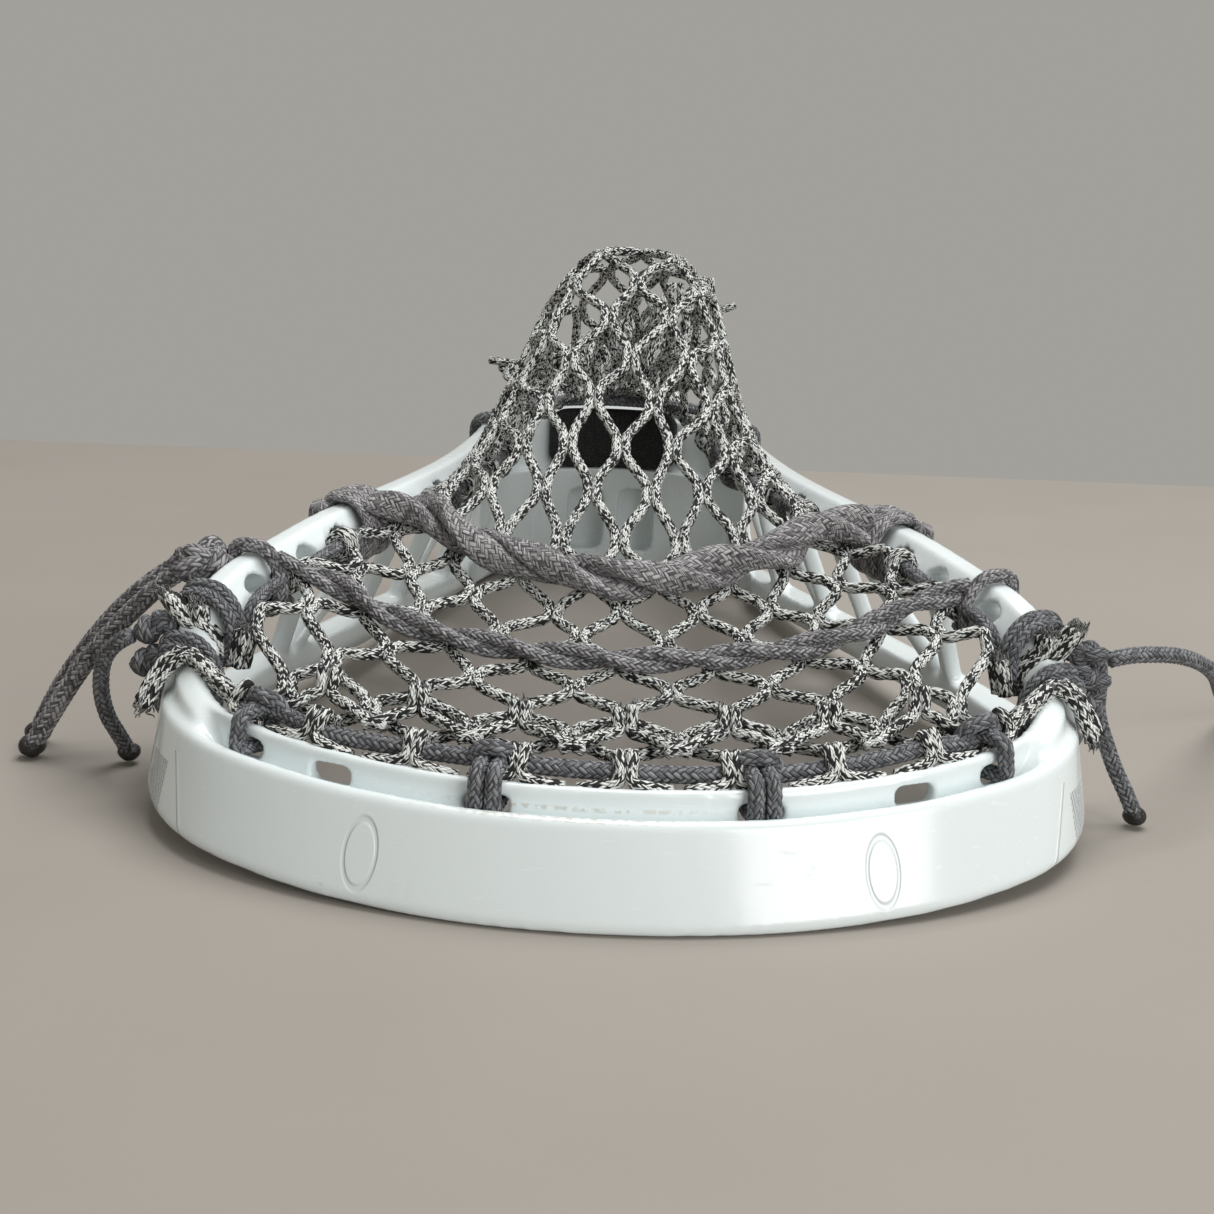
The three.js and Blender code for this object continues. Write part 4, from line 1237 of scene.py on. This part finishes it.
def make_shooting_string():
    relief = braid_relief(10, 1.3, 0.26)
    stations = [(0, 55, 0.2), (25, 59, 0.2), (42, 63.5, 0.3), (53, 69, 0.5)]
    points = across_net(stations, 1.9)
    ends = [place(edge_at(UPPER_LINE, STRING_WRAP_Y, side), 8.4, -0.8) for side in (-1, 1)]
    path = route([ends[0], *points, ends[1]], 0.4)
    string = Shape()
    for phase in (0.0, math.pi):
        string.cord(ply(path, 1.2, STRING_TWIST, phase), 1.25, 30, relief, start=phase * 5)
    for side, turns, radius in ((-1, 1.5, 1.4), (1, 1.0, 1.25)):
        string.cord(even(around_rail(side, STRING_WRAP_Y, turns, 2.9, radius, -0.4), 0.4), radius,
                    30, relief)
    for centre, size, turn in (((-77.6, 72.6, 40.6), 6.4, 0.6), ((-80.4, 72, 38.8), 6.2, 2.0),
                               ((-81.6, 74.4, 38.6), 5.0, 1.2)):
        string.cord(even(overhand(centre, size, turn=turn, tilt=0.5), 0.4, True), 1.55, 30, relief,
                    closed=True)
    string.object("shooting_string_twisted", STRING, "shooting_lace", ["shooting_string"])


# Lumps of the corner knots, as (centre, size across), in order from the wrap to the tail.
CORNER_LUMPS = {
    "left_sidewall_knot": (((-82.4, 58, 31.6), 3.4), ((-85, 57.4, 30.4), 3.6)),
    "left_top_string_knot": (((-82.8, 55.4, 26), 3.4), ((-85.4, 56.2, 24.6), 3.6)),
    "right_sidewall_knot": (((82, 58, 32.4), 3.4), ((84.8, 57.2, 32), 3.6)),
    "right_top_string_knot": (((83.2, 55.6, 28.8), 3.4), ((85.4, 56.2, 27.4), 3.6),
                              ((85, 55.8, 24), 3.2)),
}


def make_corner_knots():
    relief = braid_relief(8, 1.35, 0.3)
    for side, word in SIDES:
        for title, y in (("sidewall_knot", SIDE_KNOT_Y), ("top_string_knot", TOP_KNOT_Y)):
            lashing = Shape()
            wrap = around_rail(side, y, 1.9, 2.15, 1.15, 0.02)
            lashing.cord(even(wrap, 0.4), 1.22, CORD_SIDES, relief)
            for k, (centre, size) in enumerate(CORNER_LUMPS[f"{word}_{title}"]):
                knot = overhand(centre, size, (1, 1, 1.2), side * (0.7 + 1.4 * k), 0.3 + 0.6 * k)
                lashing.cord(even(knot, 0.4, True), 1.28, CORD_SIDES, relief, closed=True)
            lashing.object(f"{word}_{title}_cord", NYLON, "nylon_cord", [f"{title}_{word}"])


def net_stub(shape, line, offsets, chance):
    """Bundle of cut net cords that ends in a short brush of fibres."""
    for k, offset in enumerate(offsets):
        path = [np.array(p) + offset for p in line]
        shape.cord(route(path, 0.5), 1.15, 16, NET_RELIEF, start=k * 3.0)
        fray(shape, path[-1], path[-1] - path[-2], 14, 1.7, chance, 1.2, 0.24)


def make_net_ends():
    """Cut net cords at the scoop's corners: along the flange, between the lashings and inside."""
    chance = np.random.default_rng(8)
    for side, word in SIDES:
        ends = Shape()
        line = [(60.5, 34, 22.2), (65, 38, 23.6), (69.6, 42.6, 25.4), (73.6, 47, 27.2),
                (76.6, 49.4, 28), (79.4, 49, 26), (81.8, 47.4, 22.2), (83, 46.4, 19.6)]
        line = [(side * x, y, z) for x, y, z in line]
        net_stub(ends, line, ((0, -1.0, 0), (0, 1.0, 0.3)), chance)
        net_stub(ends, line[1:4], ((side * 0.6, -0.6, 1.3),), chance)
        net_stub(ends, line[4:8], ((side * 0.9, 0, 0.9),), chance)
        near = [(70, 56.4, 25), (73.4, 56.6, 30.4), (75.6, 56.6, 32.6), (76, 56.6, 35.4)]
        far = [(74, 57.2, 31.6), (77.4, 56.8, 32.2), (79.4, 56.6, 34.4), (81, 56.4, 37)]
        inside = [(68.4, 54, 25.2), (67.6, 54.2, 28.6), (66.9, 54.4, 31.4)]
        for stub, spread in ((near, 0.95), (far, 1.0), (inside, 1.0)):
            stub = [(side * x, y, z) for x, y, z in stub]
            net_stub(ends, stub, ((-spread, 0, 0.2), (spread, 0.1, -0.2), (0, -0.9, 0)), chance)
        ends.object(f"{word}_net_end_cords", NET, "net_cord", [f"net_end_{word}"])


def make_pad():
    rings = []
    radius = BALL_STOP_RADIUS
    low = SHELF_TOP + 0.35
    outline = [(0.5, 0), (3.1, 0), (3.6, 0.5), (3.65, 8), (3.5, 15.4), (2.9, 16.3), (2.0, 16.6),
               (1.1, 16.3), (0.45, 15.2), (0.2, 12), (0.0, 8), (0.05, 3), (0.15, 0.6)]
    for t in np.linspace(-1, 1, 41):
        angle = t * math.asin(17 / radius)
        along = np.array((math.sin(angle), math.cos(angle), 0))
        squeeze = 1 - 0.35 * abs(t) ** 12
        base = np.array((0, FACE_LENGTH - radius, low)) + along * (radius - 0.2)
        rings.append([base + along * (1.8 + (n - 1.8) * squeeze)
                      + (0, 0, 8.3 + (z - 8.3) * squeeze) for n, z in outline])
    pad = skin(rings).object("foam_pad", FOAM, "foam", ["ball_stop_pad"])


make_top_string()
make_sidewall_strings()
make_net_hitches()
make_throat_string()
make_shooting_lace()
make_shooting_string()
make_corner_knots()
make_net_ends()
make_pad()


# ---- staging ----
TABLE_SIZE = (3.0, 2.2835, 0.03)
TABLE_FAR_EDGE = 0.2835


def make_stage():
    m = Nodes("table")
    grain = m.noise(60.0, 5.0, m.place())
    m.set(Base_Color=m.mix(grain, (0.30, 0.275, 0.245, 1), (0.33, 0.30, 0.27, 1)),
          Roughness=0.75, Normal=m.bump(m.noise(1800.0, 2.0, m.place()), 0.00003))
    bpy.ops.mesh.primitive_cube_add(size=1)
    table = bpy.context.object
    table.name = "table"
    table.scale = TABLE_SIZE
    table.location = (0, TABLE_FAR_EDGE - TABLE_SIZE[1] / 2, -TABLE_SIZE[2] / 2)
    bevel = table.modifiers.new("edge", "BEVEL")
    bevel.width = 0.003
    bevel.segments = 3
    table.data.materials.append(m.material)

    world = bpy.data.worlds.new("studio")
    bpy.context.scene.world = world
    world.use_nodes = True
    backdrop = world.node_tree.nodes["Background"]
    backdrop.inputs[0].default_value = (0.66, 0.645, 0.60, 1)
    backdrop.inputs[1].default_value = 0.55
    bpy.context.scene.view_settings.view_transform = "Standard"
    for name, size, power, where in (
            ("overhead", 0.8, 12.0, (0.2, 0.1, 1.1)),
            ("front", 0.7, 8.0, (0.75, -1.0, 0.36))):
        data = bpy.data.lights.new(name, "AREA")
        data.shape = "SQUARE"
        data.size = size
        data.energy = power
        light = bpy.data.objects.new(name, data)
        light.location = where
        aim = Vector((0, 0, 0.02)) - Vector(where)
        light.rotation_euler = aim.to_track_quat("-Z", "Y").to_euler()
        bpy.context.scene.collection.objects.link(light)


make_stage()
